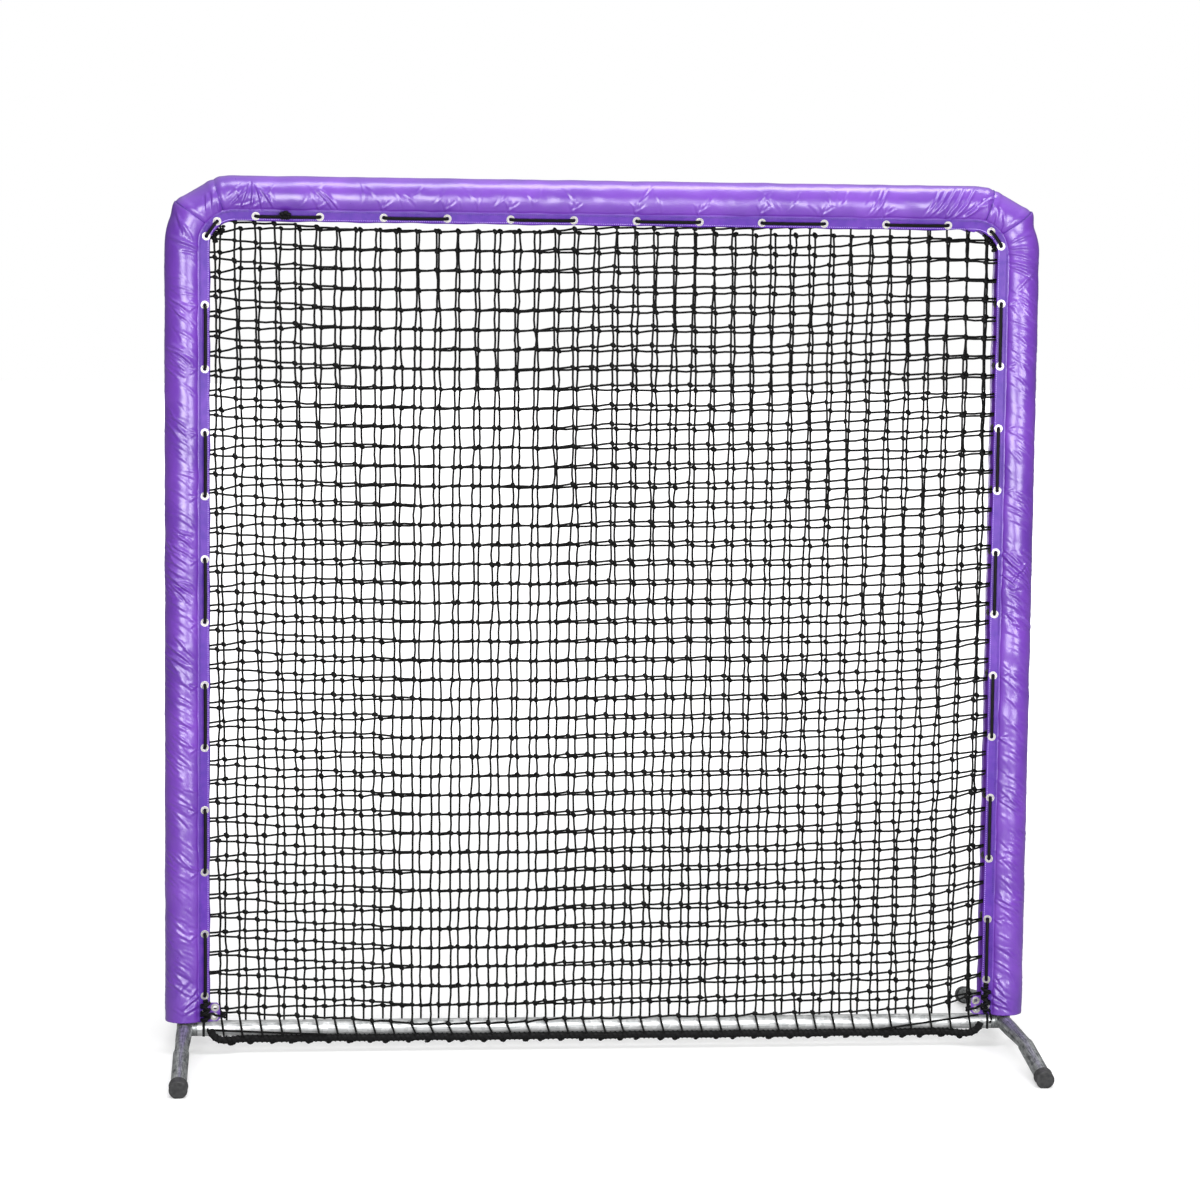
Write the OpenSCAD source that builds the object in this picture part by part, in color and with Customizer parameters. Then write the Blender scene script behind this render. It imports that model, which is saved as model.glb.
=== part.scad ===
// Padded fielding screen: a slip-fit steel tube frame on four pull-off feet, a double-faced
// knotted net drawn over it, and vinyl-covered foam pads laced round the posts and the top rail.
// Millimetres, +Z up. Origin on the floor, under the middle of the frame. The front faces -Y.

/* [Frame] */
// Distance between the axes of the two posts
post_spacing = 2032; // [1300:1:2600]
// Height of the top rail's axis above the floor
top_rail_h = 2082; // [1300:1:2600]
// Height of the bottom rail's axis above the floor
rail_h = 57; // [50:1:90]
// Centreline radius of the bends at the top corners
corner_bend_r = 120; // [100:1:200]

/* [Tube] */
// Outside diameter of every frame tube
tube_d = 38.1; // [32:0.1:44]
// Wall of the frame tubes
tube_wall = 2.8; // [1.6:0.1:3.2]
// Radial clearance of a swaged end in the tube that it enters
slip_clearance = 0.05; // [0.03:0.01:0.1]
// How far a swaged end goes into the next tube
slip_depth = 60; // [40:1:90]
// Full-size collar between an elbow's bend and its swaged end
elbow_collar = 30; // [10:1:60]
// Full-size stub that stands on a base, from the base's axis to the post's foot
post_collar = 76.2; // [40:0.1:110]
// Full-size stub from a post's axis to the end of the bottom rail
rail_collar = 31.2; // [24:0.1:60]

/* [Feet] */
// How far each foot reaches in front of and behind the frame
foot_reach = 480; // [400:1:640]
// Downward tilt of the feet
foot_tilt = 9.5; // [8:0.1:14]
// Length over which the base tube narrows to its swaged end
swage_len = 125; // [60:1:130]
// Swaged length between the taper and the downward bend
swage_lead = 25; // [10:1:40]
// Centreline radius of the base tube's downward bend
base_bend_r = 150; // [80:1:250]
// How far a foot tube slides onto the base
foot_grip = 90; // [60:1:110]
// Height of the shoulder on the base that stops a foot tube
stop_step = 0.4; // [0.2:0.1:1]
// Wall of a rubber foot cap
cap_wall = 2.8; // [2.4:0.1:4]
// Thickness of a cap's end
cap_end = 5; // [3:0.5:10]
// How far a cap covers its tube
cap_grip = 24; // [15:1:35]
// Depth worn flat on the bottom of a cap
cap_flat = 2.4; // [1:0.1:2.4]
// Vent hole in the top of the base tube
vent_d = 6; // [3:0.5:8]

/* [Pads] */
// Outside diameter of a finished pad
pad_d = 95.2; // [86:0.1:120]
// Thickness of the vinyl cover
vinyl = 1.2; // [0.8:0.1:2]
// Gap between the floor-side end of a side pad and the base tube
pad_end_gap = 3; // [1:0.5:20]
// How far the lacing lips reach inward from the tube's axis
lip_reach = 60; // [56:1:80]
// Distance from the tube's axis at which a lip leaves the round pad
lip_root = 34; // [30:1:38]
// Thickness of a lip, a folded and stitched hem
lip_t = 2.4; // [1.6:0.1:4]
// Angle between a lip and the plane of the net
lip_tilt = 13; // [8:1:16]
// Part of the top bend that the side pad covers
side_pad_turn = 36; // [20:1:40]
// Part of the top bend that the corner gusset covers
gusset_turn = 36; // [20:1:40]

/* [Lacing] */
// Distance between two grommets
grommet_pitch = 152.4; // [100:0.1:220]
// Bore of a grommet
grommet_bore = 9.5; // [9:0.1:12]
// Outside diameter of a grommet's flange
grommet_d = 20; // [18:0.1:24]
// Thickness of a grommet's rolled flange
grommet_roll = 1.6; // [1:0.1:2.2]
// Diameter of the lacing cord
lace_d = 8; // [5:0.1:8.4]
// Distance of the lowest left grommet from the end of its pad
left_first = 64.6; // [50:0.1:90]
// Distance of the lowest right grommet from the end of its pad
right_first = 88.6; // [50:0.1:90]
// Distance of the extra grommet under the lashing from the end of its pad
end_grommet = 22; // [16:0.1:24]
// Sideways shift of the top run of grommets from the middle
top_shift = -7.6; // [-20:0.1:20]
// Thickness of the lashing's cord
lashing_d = 6.4; // [4:0.1:7]
// Turns of the knot that starts the top lacing
knot_turns = 3; // [2:1:5]

/* [Net] */
// Thickness of a net face's twine
twine_d = 3; // [2:0.1:4]
// Gaps across one net face
gaps_across = 12; // [6:1:12]
// Gaps up one net face
gaps_up = 12; // [6:1:12]
// Diameter of the gathered rope along the bottom of the net
hem_rope_d = 18; // [12:0.5:24]

/* [Hidden] */
$fn = 64;

// Overshoot of a cut past the face that it opens, and the lap of two joined shapes
over = 1;
eps = 0.01;

half_w = post_spacing / 2;
tube_r = tube_d / 2;
bore_r = tube_r - tube_wall;
swage_r = bore_r - slip_clearance;
swage_bore_r = swage_r - tube_wall;

// Top corners: centre of the bend, and the straight lengths between the bends
bend_x = half_w - corner_bend_r;
bend_z = top_rail_h - corner_bend_r;
base_collar_top = rail_h + post_collar;
rail_collar_x = half_w - rail_collar;

// Base tube and feet, seen from the side: level, then bent down towards a cap on the floor
stop_gap = 0.1;
cap_r = tube_r + cap_wall;
cap_z = cap_r - cap_flat;
tilt_start = foot_reach - (rail_h - cap_z) / tan(foot_tilt);
base_reach = round(tilt_start - base_bend_r * tan(foot_tilt / 2));
swage_start = base_reach - swage_lead - swage_len;
foot_len = (foot_reach - base_reach - base_bend_r * sin(foot_tilt)) / cos(foot_tilt);

// Pads
pad_r = pad_d / 2;
foam_clear = 0.3;
foam_r = pad_r - vinyl - foam_clear;
net_gap = 0.3;
net_y = tube_r + net_gap + twine_d / 2;
slot_half = net_y + twine_d / 2 + foam_clear;
foam_bore_r = tube_r + foam_clear;
foam_inset = 4;
foam_turn = 45;
pad_bottom = rail_h + tube_r + pad_end_gap;
seam_gap = 0.12;
gusset_start = 180 - side_pad_turn;
gusset_end = gusset_start - gusset_turn;
lip_root_v = sqrt(pow(pad_r, 2) - pow(lip_root, 2)) - lip_t / 2;
grommet_u = (lip_root + lip_reach) / 2 + 2;
grommet_v = lip_root_v - (grommet_u - lip_root) * tan(lip_tilt);

// Grommets: an even number on each run, because the cord shows on every second stretch
top_span = 2 * bend_x;
side_span = bend_z - pad_bottom;
top_count = 2 * floor((top_span / grommet_pitch + 1) / 2);
side_count = 2 * floor(((side_span - right_first) / grommet_pitch + 1) / 2);
top_first = top_shift - (top_count - 1) / 2 * grommet_pitch;
gusset_grommet_turn = gusset_start - gusset_turn / 2;
side_grommet_turn = 180 - side_pad_turn / 2;
grommet_press = 0.05;
grommet_barrel = 0.8;

// Lacing: its height over a lip's middle, and how it dives through a grommet
lace_r = lace_d / 2;
cord_gap = 0.4;
over_grommet = lip_t / 2 + grommet_press + grommet_roll + cord_gap;
lace_out = over_grommet + lace_r;
lace_sides = 8;
dive_run = 7;
dive_bend = 2;
dive_drop = 1.6;
dive_depth = 5.6;
lace_start = 20;
lace_end = 9.5;

// Distance of the lacing from the tube's axis where it goes through the net
lace_u = grommet_u + (lace_out - dive_depth) * sin(lip_tilt);
lace_slack = 3.2;

// Lashing and knot: turns wound round a thin core, up to just below the lowest grommet
wind_core = 0.5;
turn_gap = 0.85;
lashing_r = lashing_d / 2;
lashing_top = grommet_d / 2;
lashing_foot = 3;
lashing_press = 0.3;
tail_drop = 33;
knot_r = 2.4;
knot_place = 0.4;

// Net: its hem hangs in front of the bottom rail and meets a rope under it
net_tuck = 4;
net_lift = 1;
hem_draw_in = 46;
hem_r = hem_rope_d / 2;
hem_angle = 56;
hem_gap = 0.4;
hem_bite = 0.6;
hem_y = -(tube_r + hem_r + hem_gap) * cos(hem_angle);
hem_z = rail_h - (tube_r + hem_r + hem_gap) * sin(hem_angle);
net_bottom = hem_z + hem_r - hem_bite;
net_open_x = half_w - lip_reach + net_tuck;
net_open_top = top_rail_h - lip_reach + net_tuck;
net_open_bottom = rail_h + tube_r + net_tuck;

// Tabs, drawn flat with +X inward and +Y up from the lower outer corner
tab_h = 46;
tab_w = 27;
tab_chamfer = 8;
tab_lean = 2;
tab_gap = 0.4;
tab_lift = 1;
tab_bores = [[12, 12], [14, 34]];

steel = "#B9BCBB";
rubber = "#222222";
purple = "#8C5FD6";
purple_dark = "#7B4FC4";
foam_grey = "#D8D8D2";
nickel = "#E4E4E0";
black = "#181818";

// ---------- tube shapes ----------

// Straight tube along +Z
module tube(len, r = tube_r, bore = bore_r) {
    difference() {
        cylinder(h = len, r = r);
        translate([0, 0, -over])
            cylinder(h = len + 2 * over, r = bore);
    }
}

// Bend of radius r in the X-Z plane round the origin, from angle a0 over angle a
module bend_xz(r, a0, a) {
    rotate([90, 0, 0])
        rotate([0, 0, a0])
            rotate_extrude(angle = a)
                translate([r, 0])
                    children();
}

// ---------- frame ----------

// Solid outline of one arm of the base, from the post's axis towards +Y; inset thins it to its bore
module base_arm(inset) {
    r0 = tube_r - inset;
    r1 = swage_r + stop_step - inset;
    translate([0, 0, rail_h])
        rotate([-90, 0, 0]) {
            cylinder(h = swage_start, r = r0);
            translate([0, 0, swage_start])
                cylinder(h = swage_len, r1 = r0, r2 = r1);
            translate([0, 0, swage_start + swage_len])
                cylinder(h = base_reach - swage_start - swage_len, r = r1);
        }
    translate([0, base_reach, rail_h - base_bend_r])
        rotate([0, -90, 0])
            rotate_extrude(angle = foot_tilt)
                translate([base_bend_r, 0])
                    circle(r = r1);
    at_mouth()
        translate([0, 0, -over])
            cylinder(h = foot_grip + over + (inset > 0 ? over : 0), r = swage_r - inset);
}

// Places children at the end of an arm's bend, with +Z down along the tilted end
module at_mouth() {
    translate([0, base_reach, rail_h - base_bend_r])
        rotate([-foot_tilt, 0, 0])
            translate([0, 0, base_bend_r])
                rotate([-90, 0, 0])
                    children();
}

// Welded base: cross tube with two swaged, bent ends, a post stub and a rail stub towards +X
module base() {
    difference() {
        union() {
            base_arm(0);
            mirror([0, 1, 0])
                base_arm(0);
            translate([0, 0, rail_h])
                cylinder(h = base_collar_top - rail_h, r = tube_r);
            translate([0, 0, base_collar_top])
                cylinder(h = slip_depth, r = swage_r);
            translate([0, 0, rail_h])
                rotate([0, 90, 0]) {
                    cylinder(h = half_w - rail_collar_x, r = tube_r);
                    translate([0, 0, half_w - rail_collar_x])
                        cylinder(h = slip_depth, r = swage_r);
                }
        }
        base_arm(tube_wall);
        mirror([0, 1, 0])
            base_arm(tube_wall);
        translate([0, 0, rail_h])
            cylinder(h = base_collar_top - rail_h + slip_depth + over, r = swage_bore_r);
        translate([0, 0, rail_h])
            rotate([0, 90, 0])
                cylinder(h = half_w - rail_collar_x + slip_depth + over, r = swage_bore_r);
        for (s = [-1, 1])
            translate([0, s * (base_reach - 2 * vent_d), rail_h])
                cylinder(h = tube_d, d = vent_d);
    }
}

module left_base() {
    color(steel)
        translate([-half_w, 0, 0])
            base();
}

module right_base() {
    color(steel)
        mirror([1, 0, 0])
            translate([-half_w, 0, 0])
                base();
}

module post(side) {
    color(steel)
        translate([side * half_w, 0, base_collar_top])
            tube(bend_z - elbow_collar - base_collar_top);
}

module left_post() {
    post(-1);
}

module right_post() {
    post(1);
}

// Left top elbow: a quarter bend with a collar and a swaged end on each leg
module elbow() {
    difference() {
        union() {
            translate([-bend_x, 0, bend_z])
                bend_xz(corner_bend_r, 90, 90)
                    circle(r = tube_r);
            translate([-half_w, 0, bend_z - elbow_collar])
                cylinder(h = elbow_collar, r = tube_r);
            translate([-half_w, 0, bend_z - elbow_collar - slip_depth])
                cylinder(h = slip_depth, r = swage_r);
            translate([-bend_x, 0, top_rail_h])
                rotate([0, 90, 0]) {
                    cylinder(h = elbow_collar, r = tube_r);
                    translate([0, 0, elbow_collar])
                        cylinder(h = slip_depth, r = swage_r);
                }
        }
        translate([-bend_x, 0, bend_z])
            bend_xz(corner_bend_r, 90, 90)
                circle(r = swage_bore_r);
        translate([-half_w, 0, bend_z - elbow_collar - slip_depth - over])
            cylinder(h = elbow_collar + slip_depth + over, r = swage_bore_r);
        translate([-bend_x, 0, top_rail_h])
            rotate([0, 90, 0])
                cylinder(h = elbow_collar + slip_depth + over, r = swage_bore_r);
    }
}

module left_elbow() {
    color(steel)
        elbow();
}

module right_elbow() {
    color(steel)
        mirror([1, 0, 0])
            elbow();
}

module top_rail() {
    color(steel)
        translate([-bend_x + elbow_collar, 0, top_rail_h])
            rotate([0, 90, 0])
                tube(2 * (bend_x - elbow_collar));
}

module bottom_rail() {
    color(steel)
        translate([-rail_collar_x, 0, rail_h])
            rotate([0, 90, 0])
                tube(2 * rail_collar_x);
}

// ---------- feet ----------

// Places children, drawn along +Z from a foot tube's mouth, at one of the four feet
module at_foot(side, front) {
    translate([side * half_w, 0, 0])
        mirror([0, front ? 1 : 0, 0])
            at_mouth()
                children();
}

module foot_tube(side, front) {
    color(steel)
        at_foot(side, front)
            translate([0, 0, stop_gap])
                tube(foot_len - cap_end - stop_gap);
}

// Rubber cap pushed over the end of a foot tube, worn flat where it stands on the floor
module foot_cap(side, front) {
    color(rubber)
        difference() {
            at_foot(side, front)
                translate([0, 0, foot_len])
                    mirror([0, 0, 1])
                        rotate_extrude()
                            cap_profile();
            translate([side * half_w, 0, -tube_d])
                cube([2 * tube_d, 4 * foot_reach, 2 * tube_d], center = true);
        }
}

// Half section of a cap: a rounded end, and a bead round the mouth
module cap_profile() {
    edge = 2;
    bead_r = 1.2;
    bead_sink = 0.4;
    cap_fit = 0.05;
    difference() {
        union() {
            translate([0, edge])
                square([cap_r, cap_end + cap_grip - edge]);
            square([cap_r - edge, edge + eps]);
            translate([cap_r - edge, edge])
                circle(r = edge);
            translate([cap_r - bead_sink, cap_end + cap_grip - bead_r - bead_sink])
                circle(r = bead_r);
        }
        translate([-over, cap_end])
            square([tube_r + cap_fit + over, cap_grip + over]);
    }
}

module left_front_foot() {
    foot_tube(-1, true);
}

module left_rear_foot() {
    foot_tube(-1, false);
}

module right_front_foot() {
    foot_tube(1, true);
}

module right_rear_foot() {
    foot_tube(1, false);
}

module left_front_cap() {
    foot_cap(-1, true);
}

module left_rear_cap() {
    foot_cap(-1, false);
}

module right_front_cap() {
    foot_cap(1, true);
}

module right_rear_cap() {
    foot_cap(1, false);
}

// ---------- pads ----------
// Pad sections are drawn with +X towards the net and Y across it, round the tube's axis.

module foam_section() {
    difference() {
        circle(r = foam_r);
        circle(r = foam_bore_r);
        translate([0, -slot_half])
            square([pad_r, 2 * slot_half]);
        translate([lip_root - lip_t - foam_clear, -pad_r])
            square([pad_r, pad_d]);
    }
}

// Round cover with two hemmed lips that stand inward, one in front of the net and one behind it
module cover_section() {
    difference() {
        circle(r = pad_r);
        circle(r = pad_r - vinyl);
        translate([lip_root, -pad_r])
            square([pad_r, pad_d]);
    }
    for (s = [-1, 1])
        scale([1, s])
            lip_section();
}

// One lip: a straight hem with a rounded free edge, rooted in the round cover
module lip_section() {
    lip_len = (lip_reach - lip_root - lip_t / 2) / cos(lip_tilt);
    translate([lip_root, lip_root_v])
        rotate([0, 0, -lip_tilt]) {
            translate([-lip_t, -lip_t / 2])
                square([lip_t + lip_len, lip_t]);
            translate([lip_len, 0])
                circle(d = lip_t, $fn = 24);
        }
}

// Straight length of pad section up the left post
module side_run(z0, z1) {
    translate([-half_w, 0, z0])
        linear_extrude(height = z1 - z0)
            children();
}

// Length of pad section round the left bend, from the post back over angle a
module side_turn(a) {
    translate([-bend_x, 0, bend_z])
        rotate([90, 0, 0])
            mirror([1, 0, 0])
                rotate_extrude(angle = a)
                    translate([corner_bend_r, 0])
                        mirror([1, 0])
                            children();
}

// Length of pad section round the left bend, from angle a0 over angle a
module turn_run(a0, a) {
    translate([-bend_x, 0, bend_z])
        rotate([90, 0, 0])
            rotate([0, 0, a0])
                rotate_extrude(angle = a)
                    translate([corner_bend_r, 0])
                        mirror([1, 0])
                            children();
}

module top_run() {
    translate([-bend_x, 0, top_rail_h])
        rotate([0, 90, 0])
            linear_extrude(height = 2 * bend_x)
                children();
}

module side_foam() {
    side_run(pad_bottom + foam_inset, bend_z)
        foam_section();
    side_turn(foam_turn - seam_gap)
        foam_section();
}

module left_foam() {
    color(foam_grey)
        side_foam();
}

module right_foam() {
    color(foam_grey)
        mirror([1, 0, 0])
            side_foam();
}

module top_foam() {
    color(foam_grey) {
        top_run()
            foam_section();
        turn_run(90, 90 - foam_turn)
            foam_section();
        mirror([1, 0, 0])
            turn_run(90, 90 - foam_turn)
                foam_section();
    }
}

// Heights of a side run's grommets: the extra one at its foot, then the laced ones
function side_heights(first) =
    concat([pad_bottom + end_grommet],
        [for (i = [0 : side_count - 1]) pad_bottom + first + i * grommet_pitch]);

// Places children on the tube's axis at every grommet of the left run, the one in the bend too
module at_side_grommets(first) {
    for (z = side_heights(first))
        translate([-half_w, 0, z])
            children();
    at_turn(side_grommet_turn)
        children();
}

module at_top_grommets() {
    for (i = [0 : top_count - 1])
        translate([top_first + i * grommet_pitch, 0, top_rail_h])
            rotate([0, 90, 0])
                children();
}

// Places children on the tube's axis in the left bend at angle a, with +X towards the bend's centre
module at_turn(a) {
    translate([-bend_x, 0, bend_z])
        rotate([0, -a, 0])
            translate([corner_bend_r, 0, 0])
                rotate([0, 180, 0])
                    children();
}

// Places children on the front and the back lip, with +Z out of the pad along the lip's normal
module at_lips() {
    for (s = [0, 1])
        mirror([0, s, 0])
            translate([grommet_u, grommet_v, 0])
                rotate([0, 0, -lip_tilt])
                    rotate([-90, 0, 0])
                        children();
}

// Holes for a pair of grommets; in a bend their seats also press the curved lips flat
module lip_bore() {
    at_lips() {
        translate([0, 0, -lip_t])
            cylinder(h = 2 * lip_t, r = grommet_bore / 2 + grommet_barrel + 2 * grommet_press);
        for (s = [0, 1])
            mirror([0, 0, s])
                translate([0, 0, lip_t / 2 + grommet_press / 2])
                    cylinder(h = lip_t, r = grommet_d / 2 + 2 * grommet_press);
    }
}

module side_cover(first) {
    difference() {
        union() {
            side_run(pad_bottom, bend_z)
                cover_section();
            side_turn(side_pad_turn - seam_gap)
                cover_section();
        }
        at_side_grommets(first)
            lip_bore();
    }
}

module left_cover() {
    color(purple)
        side_cover(left_first);
}

module right_cover() {
    color(purple)
        mirror([1, 0, 0])
            side_cover(right_first);
}

module gusset() {
    difference() {
        turn_run(gusset_end + seam_gap, gusset_turn - 2 * seam_gap)
            cover_section();
        at_turn(gusset_grommet_turn)
            lip_bore();
    }
}

module left_gusset() {
    color(purple_dark)
        gusset();
}

module right_gusset() {
    color(purple_dark)
        mirror([1, 0, 0])
            gusset();
}

module top_cover() {
    color(purple)
        difference() {
            union() {
                top_run()
                    cover_section();
                turn_run(90, gusset_end - 90 - seam_gap)
                    cover_section();
                mirror([1, 0, 0])
                    turn_run(90, gusset_end - 90 - seam_gap)
                        cover_section();
            }
            at_top_grommets()
                lip_bore();
        }
}

// Places children on the left tab's middle plane, with +X inward, +Y up and +Z to the front
module at_tab() {
    edge_v = lip_root_v - (lip_reach - lip_root) * tan(lip_tilt);
    translate([-half_w + lip_reach + tab_gap, -edge_v, pad_bottom + tab_lift])
        rotate([90, 0, 0])
            children();
}

// Loose tab at the foot of a side cover's front lip, folded inward, with two grommets
module tab() {
    at_tab()
        translate([0, 0, -lip_t / 2])
            linear_extrude(height = lip_t)
                difference() {
                    polygon([[0, 0], [tab_w - tab_chamfer, 0], [tab_w, tab_chamfer],
                        [tab_w - tab_lean, tab_h - tab_chamfer], [tab_w - tab_chamfer, tab_h],
                        [0, tab_h]]);
                    for (b = tab_bores)
                        translate(b)
                            circle(r = grommet_bore / 2 + grommet_barrel + 2 * grommet_press);
                }
}

module left_tab() {
    color(purple)
        tab();
}

module right_tab() {
    color(purple)
        mirror([1, 0, 0])
            tab();
}

// ---------- grommets ----------

// A grommet through a lip: a barrel, a rolled flange on the outside and a flat washer inside
module grommet() {
    r = grommet_bore / 2;
    flange_r = grommet_d / 2;
    washer = 0.9;
    face = lip_t / 2 + grommet_press;
    rotate_extrude() {
        translate([r, -face - washer])
            square([grommet_barrel, 2 * face + washer]);
        translate([r, -face - washer])
            square([flange_r - r, washer]);
        translate([r, face])
            square([flange_r - r - grommet_roll / 2, grommet_roll / 2]);
        translate([flange_r - grommet_roll, face])
            square([grommet_roll, grommet_roll / 2]);
        translate([(r + flange_r) / 2, face + grommet_roll / 2])
            circle(r = grommet_roll / 2, $fn = 24);
    }
}

module side_grommets(first) {
    at_side_grommets(first)
        at_lips()
            grommet();
}

module left_grommets() {
    color(nickel)
        side_grommets(left_first);
}

module right_grommets() {
    color(nickel)
        mirror([1, 0, 0])
            side_grommets(right_first);
}

module top_grommets() {
    color(nickel) {
        at_top_grommets()
            at_lips()
                grommet();
        for (s = [0, 1])
            mirror([s, 0, 0])
                at_turn(gusset_grommet_turn)
                    at_lips()
                        grommet();
    }
}

module tab_grommets() {
    color(nickel)
        for (s = [0, 1])
            mirror([s, 0, 0])
                at_tab()
                    for (b = tab_bores)
                        translate(b)
                            grommet();
}

// ---------- net ----------

// Outline of one net face: it wraps onto the tubes at the sides and the top, and its foot
// draws in to the ends of the hem rope
module net_outline() {
    foot = pad_bottom + net_lift;
    translate([-half_w, foot])
        square([post_spacing, bend_z - foot]);
    translate([-bend_x, foot])
        square([2 * bend_x, top_rail_h - foot]);
    for (s = [-1, 1])
        translate([s * bend_x, bend_z])
            circle(r = corner_bend_r);
    polygon([[-net_open_x, foot + over], [-net_open_x + hem_draw_in, net_bottom],
        [net_open_x - hem_draw_in, net_bottom], [net_open_x, foot + over]]);
}

// One net face as a square grid, closed where it is bunched under the pads
module net_face() {
    pitch_x = 2 * net_open_x / gaps_across;
    pitch_z = (net_open_top - net_open_bottom) / gaps_up;
    difference() {
        net_outline();
        intersection() {
            for (i = [0 : gaps_across - 1])
                for (j = [0 : gaps_up - 1])
                    translate([-net_open_x + i * pitch_x + twine_d / 2,
                            net_open_bottom + j * pitch_z + twine_d / 2])
                        square([pitch_x - twine_d, pitch_z - twine_d]);
            net_opening();
        }
        lace_holes();
    }
}

// Edge of the open net, just behind the free edges of the lips
module net_opening() {
    translate([-net_open_x, net_open_bottom])
        square([2 * net_open_x, bend_z - net_open_bottom]);
    translate([-bend_x, net_open_bottom])
        square([2 * bend_x, net_open_top - net_open_bottom]);
    for (s = [-1, 1])
        translate([s * bend_x, bend_z])
            circle(r = corner_bend_r - lip_reach + net_tuck);
}

// Where the lacing goes through a net face
module lace_holes() {
    d = lace_d + lace_slack;
    u = half_w - lace_u;
    turn_r = corner_bend_r - lace_u;
    for (i = [0 : side_count - 1]) {
        translate([-u, pad_bottom + left_first + i * grommet_pitch])
            circle(d = d);
        translate([u, pad_bottom + right_first + i * grommet_pitch])
            circle(d = d);
    }
    for (i = [0 : top_count - 1])
        translate([top_first + i * grommet_pitch, top_rail_h - lace_u])
            circle(d = d);
    for (s = [-1, 1])
        for (a = [side_grommet_turn, gusset_grommet_turn])
            translate([s * (bend_x - turn_r * cos(a)), bend_z + turn_r * sin(a)])
                circle(d = d);
}

module front_net() {
    color(black)
        translate([0, -net_y + twine_d / 2, 0])
            rotate([90, 0, 0])
                linear_extrude(height = twine_d)
                    net_face();
}

module back_net() {
    color(black)
        translate([0, net_y + twine_d / 2, 0])
            rotate([90, 0, 0])
                linear_extrude(height = twine_d)
                    net_face();
}

// ---------- cords ----------

// Tube of radius r along a path; up is a direction that the path never follows
function unit(v) = v / norm(v);
function tangent(path, i) =
    let (n = len(path) - 1)
    unit(path[min(i + 1, n)] - path[max(i - 1, 0)]);
function ring_points(path, i, r, sides, up) =
    let (t = tangent(path, i), a = unit(cross(t, up)), b = cross(a, t))
    [for (k = [0 : sides - 1])
        path[i] + r * cos(360 * k / sides) * a + r * sin(360 * k / sides) * b];

module cord(path, r, up, sides = lace_sides) {
    n = len(path);
    points = [for (i = [0 : n - 1]) each ring_points(path, i, r, sides, up)];
    side_faces = [for (i = [0 : n - 2]) for (k = [0 : sides - 1])
        let (a = i * sides + k, b = i * sides + (k + 1) % sides)
        each [[a, b, b + sides], [a, b + sides, a + sides]]];
    start_face = [for (k = [1 : sides - 2]) [0, k + 1, k]];
    end_face = [for (k = [1 : sides - 2]) let (e = (n - 1) * sides) [e, e + k, e + k + 1]];
    polyhedron(points = points, faces = concat(side_faces, start_face, end_face), convexity = 10);
}

// Lacing stations lie on a line of grommets. At each one the cord goes through both lips; on_front
// says whether the stretch that follows shows on the front. Points are [along, u, v], where along
// runs down the line, u is the distance from the tube's axis and v points to the back.
function lip_point(along, face, s, shift) =
    [along + shift, grommet_u + s * sin(lip_tilt), face * (grommet_v + s * cos(lip_tilt))];

// The cord through one station, entering on the side where it lay before
function station(along, front_after) =
    let (f = front_after ? -1 : 1, g = -f)
    [lip_point(along, g, lace_out, -dive_run), lip_point(along, g, lace_out - dive_drop, -dive_bend),
     lip_point(along, g, lace_out - dive_depth, 0),
     lip_point(along, f, lace_out - dive_depth, 0),
     lip_point(along, f, lace_out - dive_drop, dive_bend),
     lip_point(along, f, lace_out, dive_run)];

// Maps a lacing point of a side run to the left post, and one of the top run to the top rail
function on_left(p) = [-half_w + p[1], p[2], p[0]];
function on_top(p) = [p[0], p[2], top_rail_h - p[1]];
function on_turn(p, a, turn_r) =
    let (b = a - p[0] / turn_r * 180 / PI, r = corner_bend_r - p[1])
    [-bend_x + r * cos(b), p[2], bend_z + r * sin(b)];

// Side lacing, upward: it starts behind the lowest grommet, and the stretches between grommets
// 1-2, 3-4 ... show on the front; then it crosses the seam from the side pad to the gusset
function side_lace_path(first) =
    let (z0 = pad_bottom + first, turn_r = corner_bend_r - grommet_u)
    concat(
        [on_left(lip_point(z0, 1, lace_out, -lace_start))],
        [for (i = [0 : side_count - 1])
            for (p = station(z0 + i * grommet_pitch, i % 2 == 0)) on_left(p)],
        [for (p = station(0, true)) on_turn(p, side_grommet_turn, turn_r)],
        [for (p = station(0, false)) on_turn(p, gusset_grommet_turn, turn_r)]);

module left_lace() {
    color(black)
        cord(side_lace_path(left_first), lace_r, [1, 0, 0]);
}

module right_lace() {
    color(black)
        mirror([1, 0, 0])
            cord(side_lace_path(right_first), lace_r, [1, 0, 0]);
}

// Top lacing: from behind the left gusset, along the top rail, to behind the right gusset
module top_lace() {
    turn_r = corner_bend_r - grommet_u;
    start = on_turn(lip_point(0, 1, lace_out, lace_end), gusset_grommet_turn, turn_r);
    bend = on_top(lip_point(-bend_x, 1, lace_out, 0));
    color(black)
        cord(concat([start, bend],
            [for (i = [0 : top_count - 1])
                for (p = station(top_first + i * grommet_pitch, i % 2 == 0)) on_top(p)],
            [[-bend[0], bend[1], bend[2]], [-start[0], start[1], start[2]]]), lace_r, [0, 0, 1]);
}

// Rope that gathers the foot of the net under the bottom rail. Both ends come forward and rise:
// their points are [distance in from the post's axis, y, height above the middle of the rope].
hem_end = [[62, -35, 27], [66, -35, 19], [73, -35, 10], [84, -34, 3], [98, -31.5, 0], [114, -24, -1]];
hem_level = 140;

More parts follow.
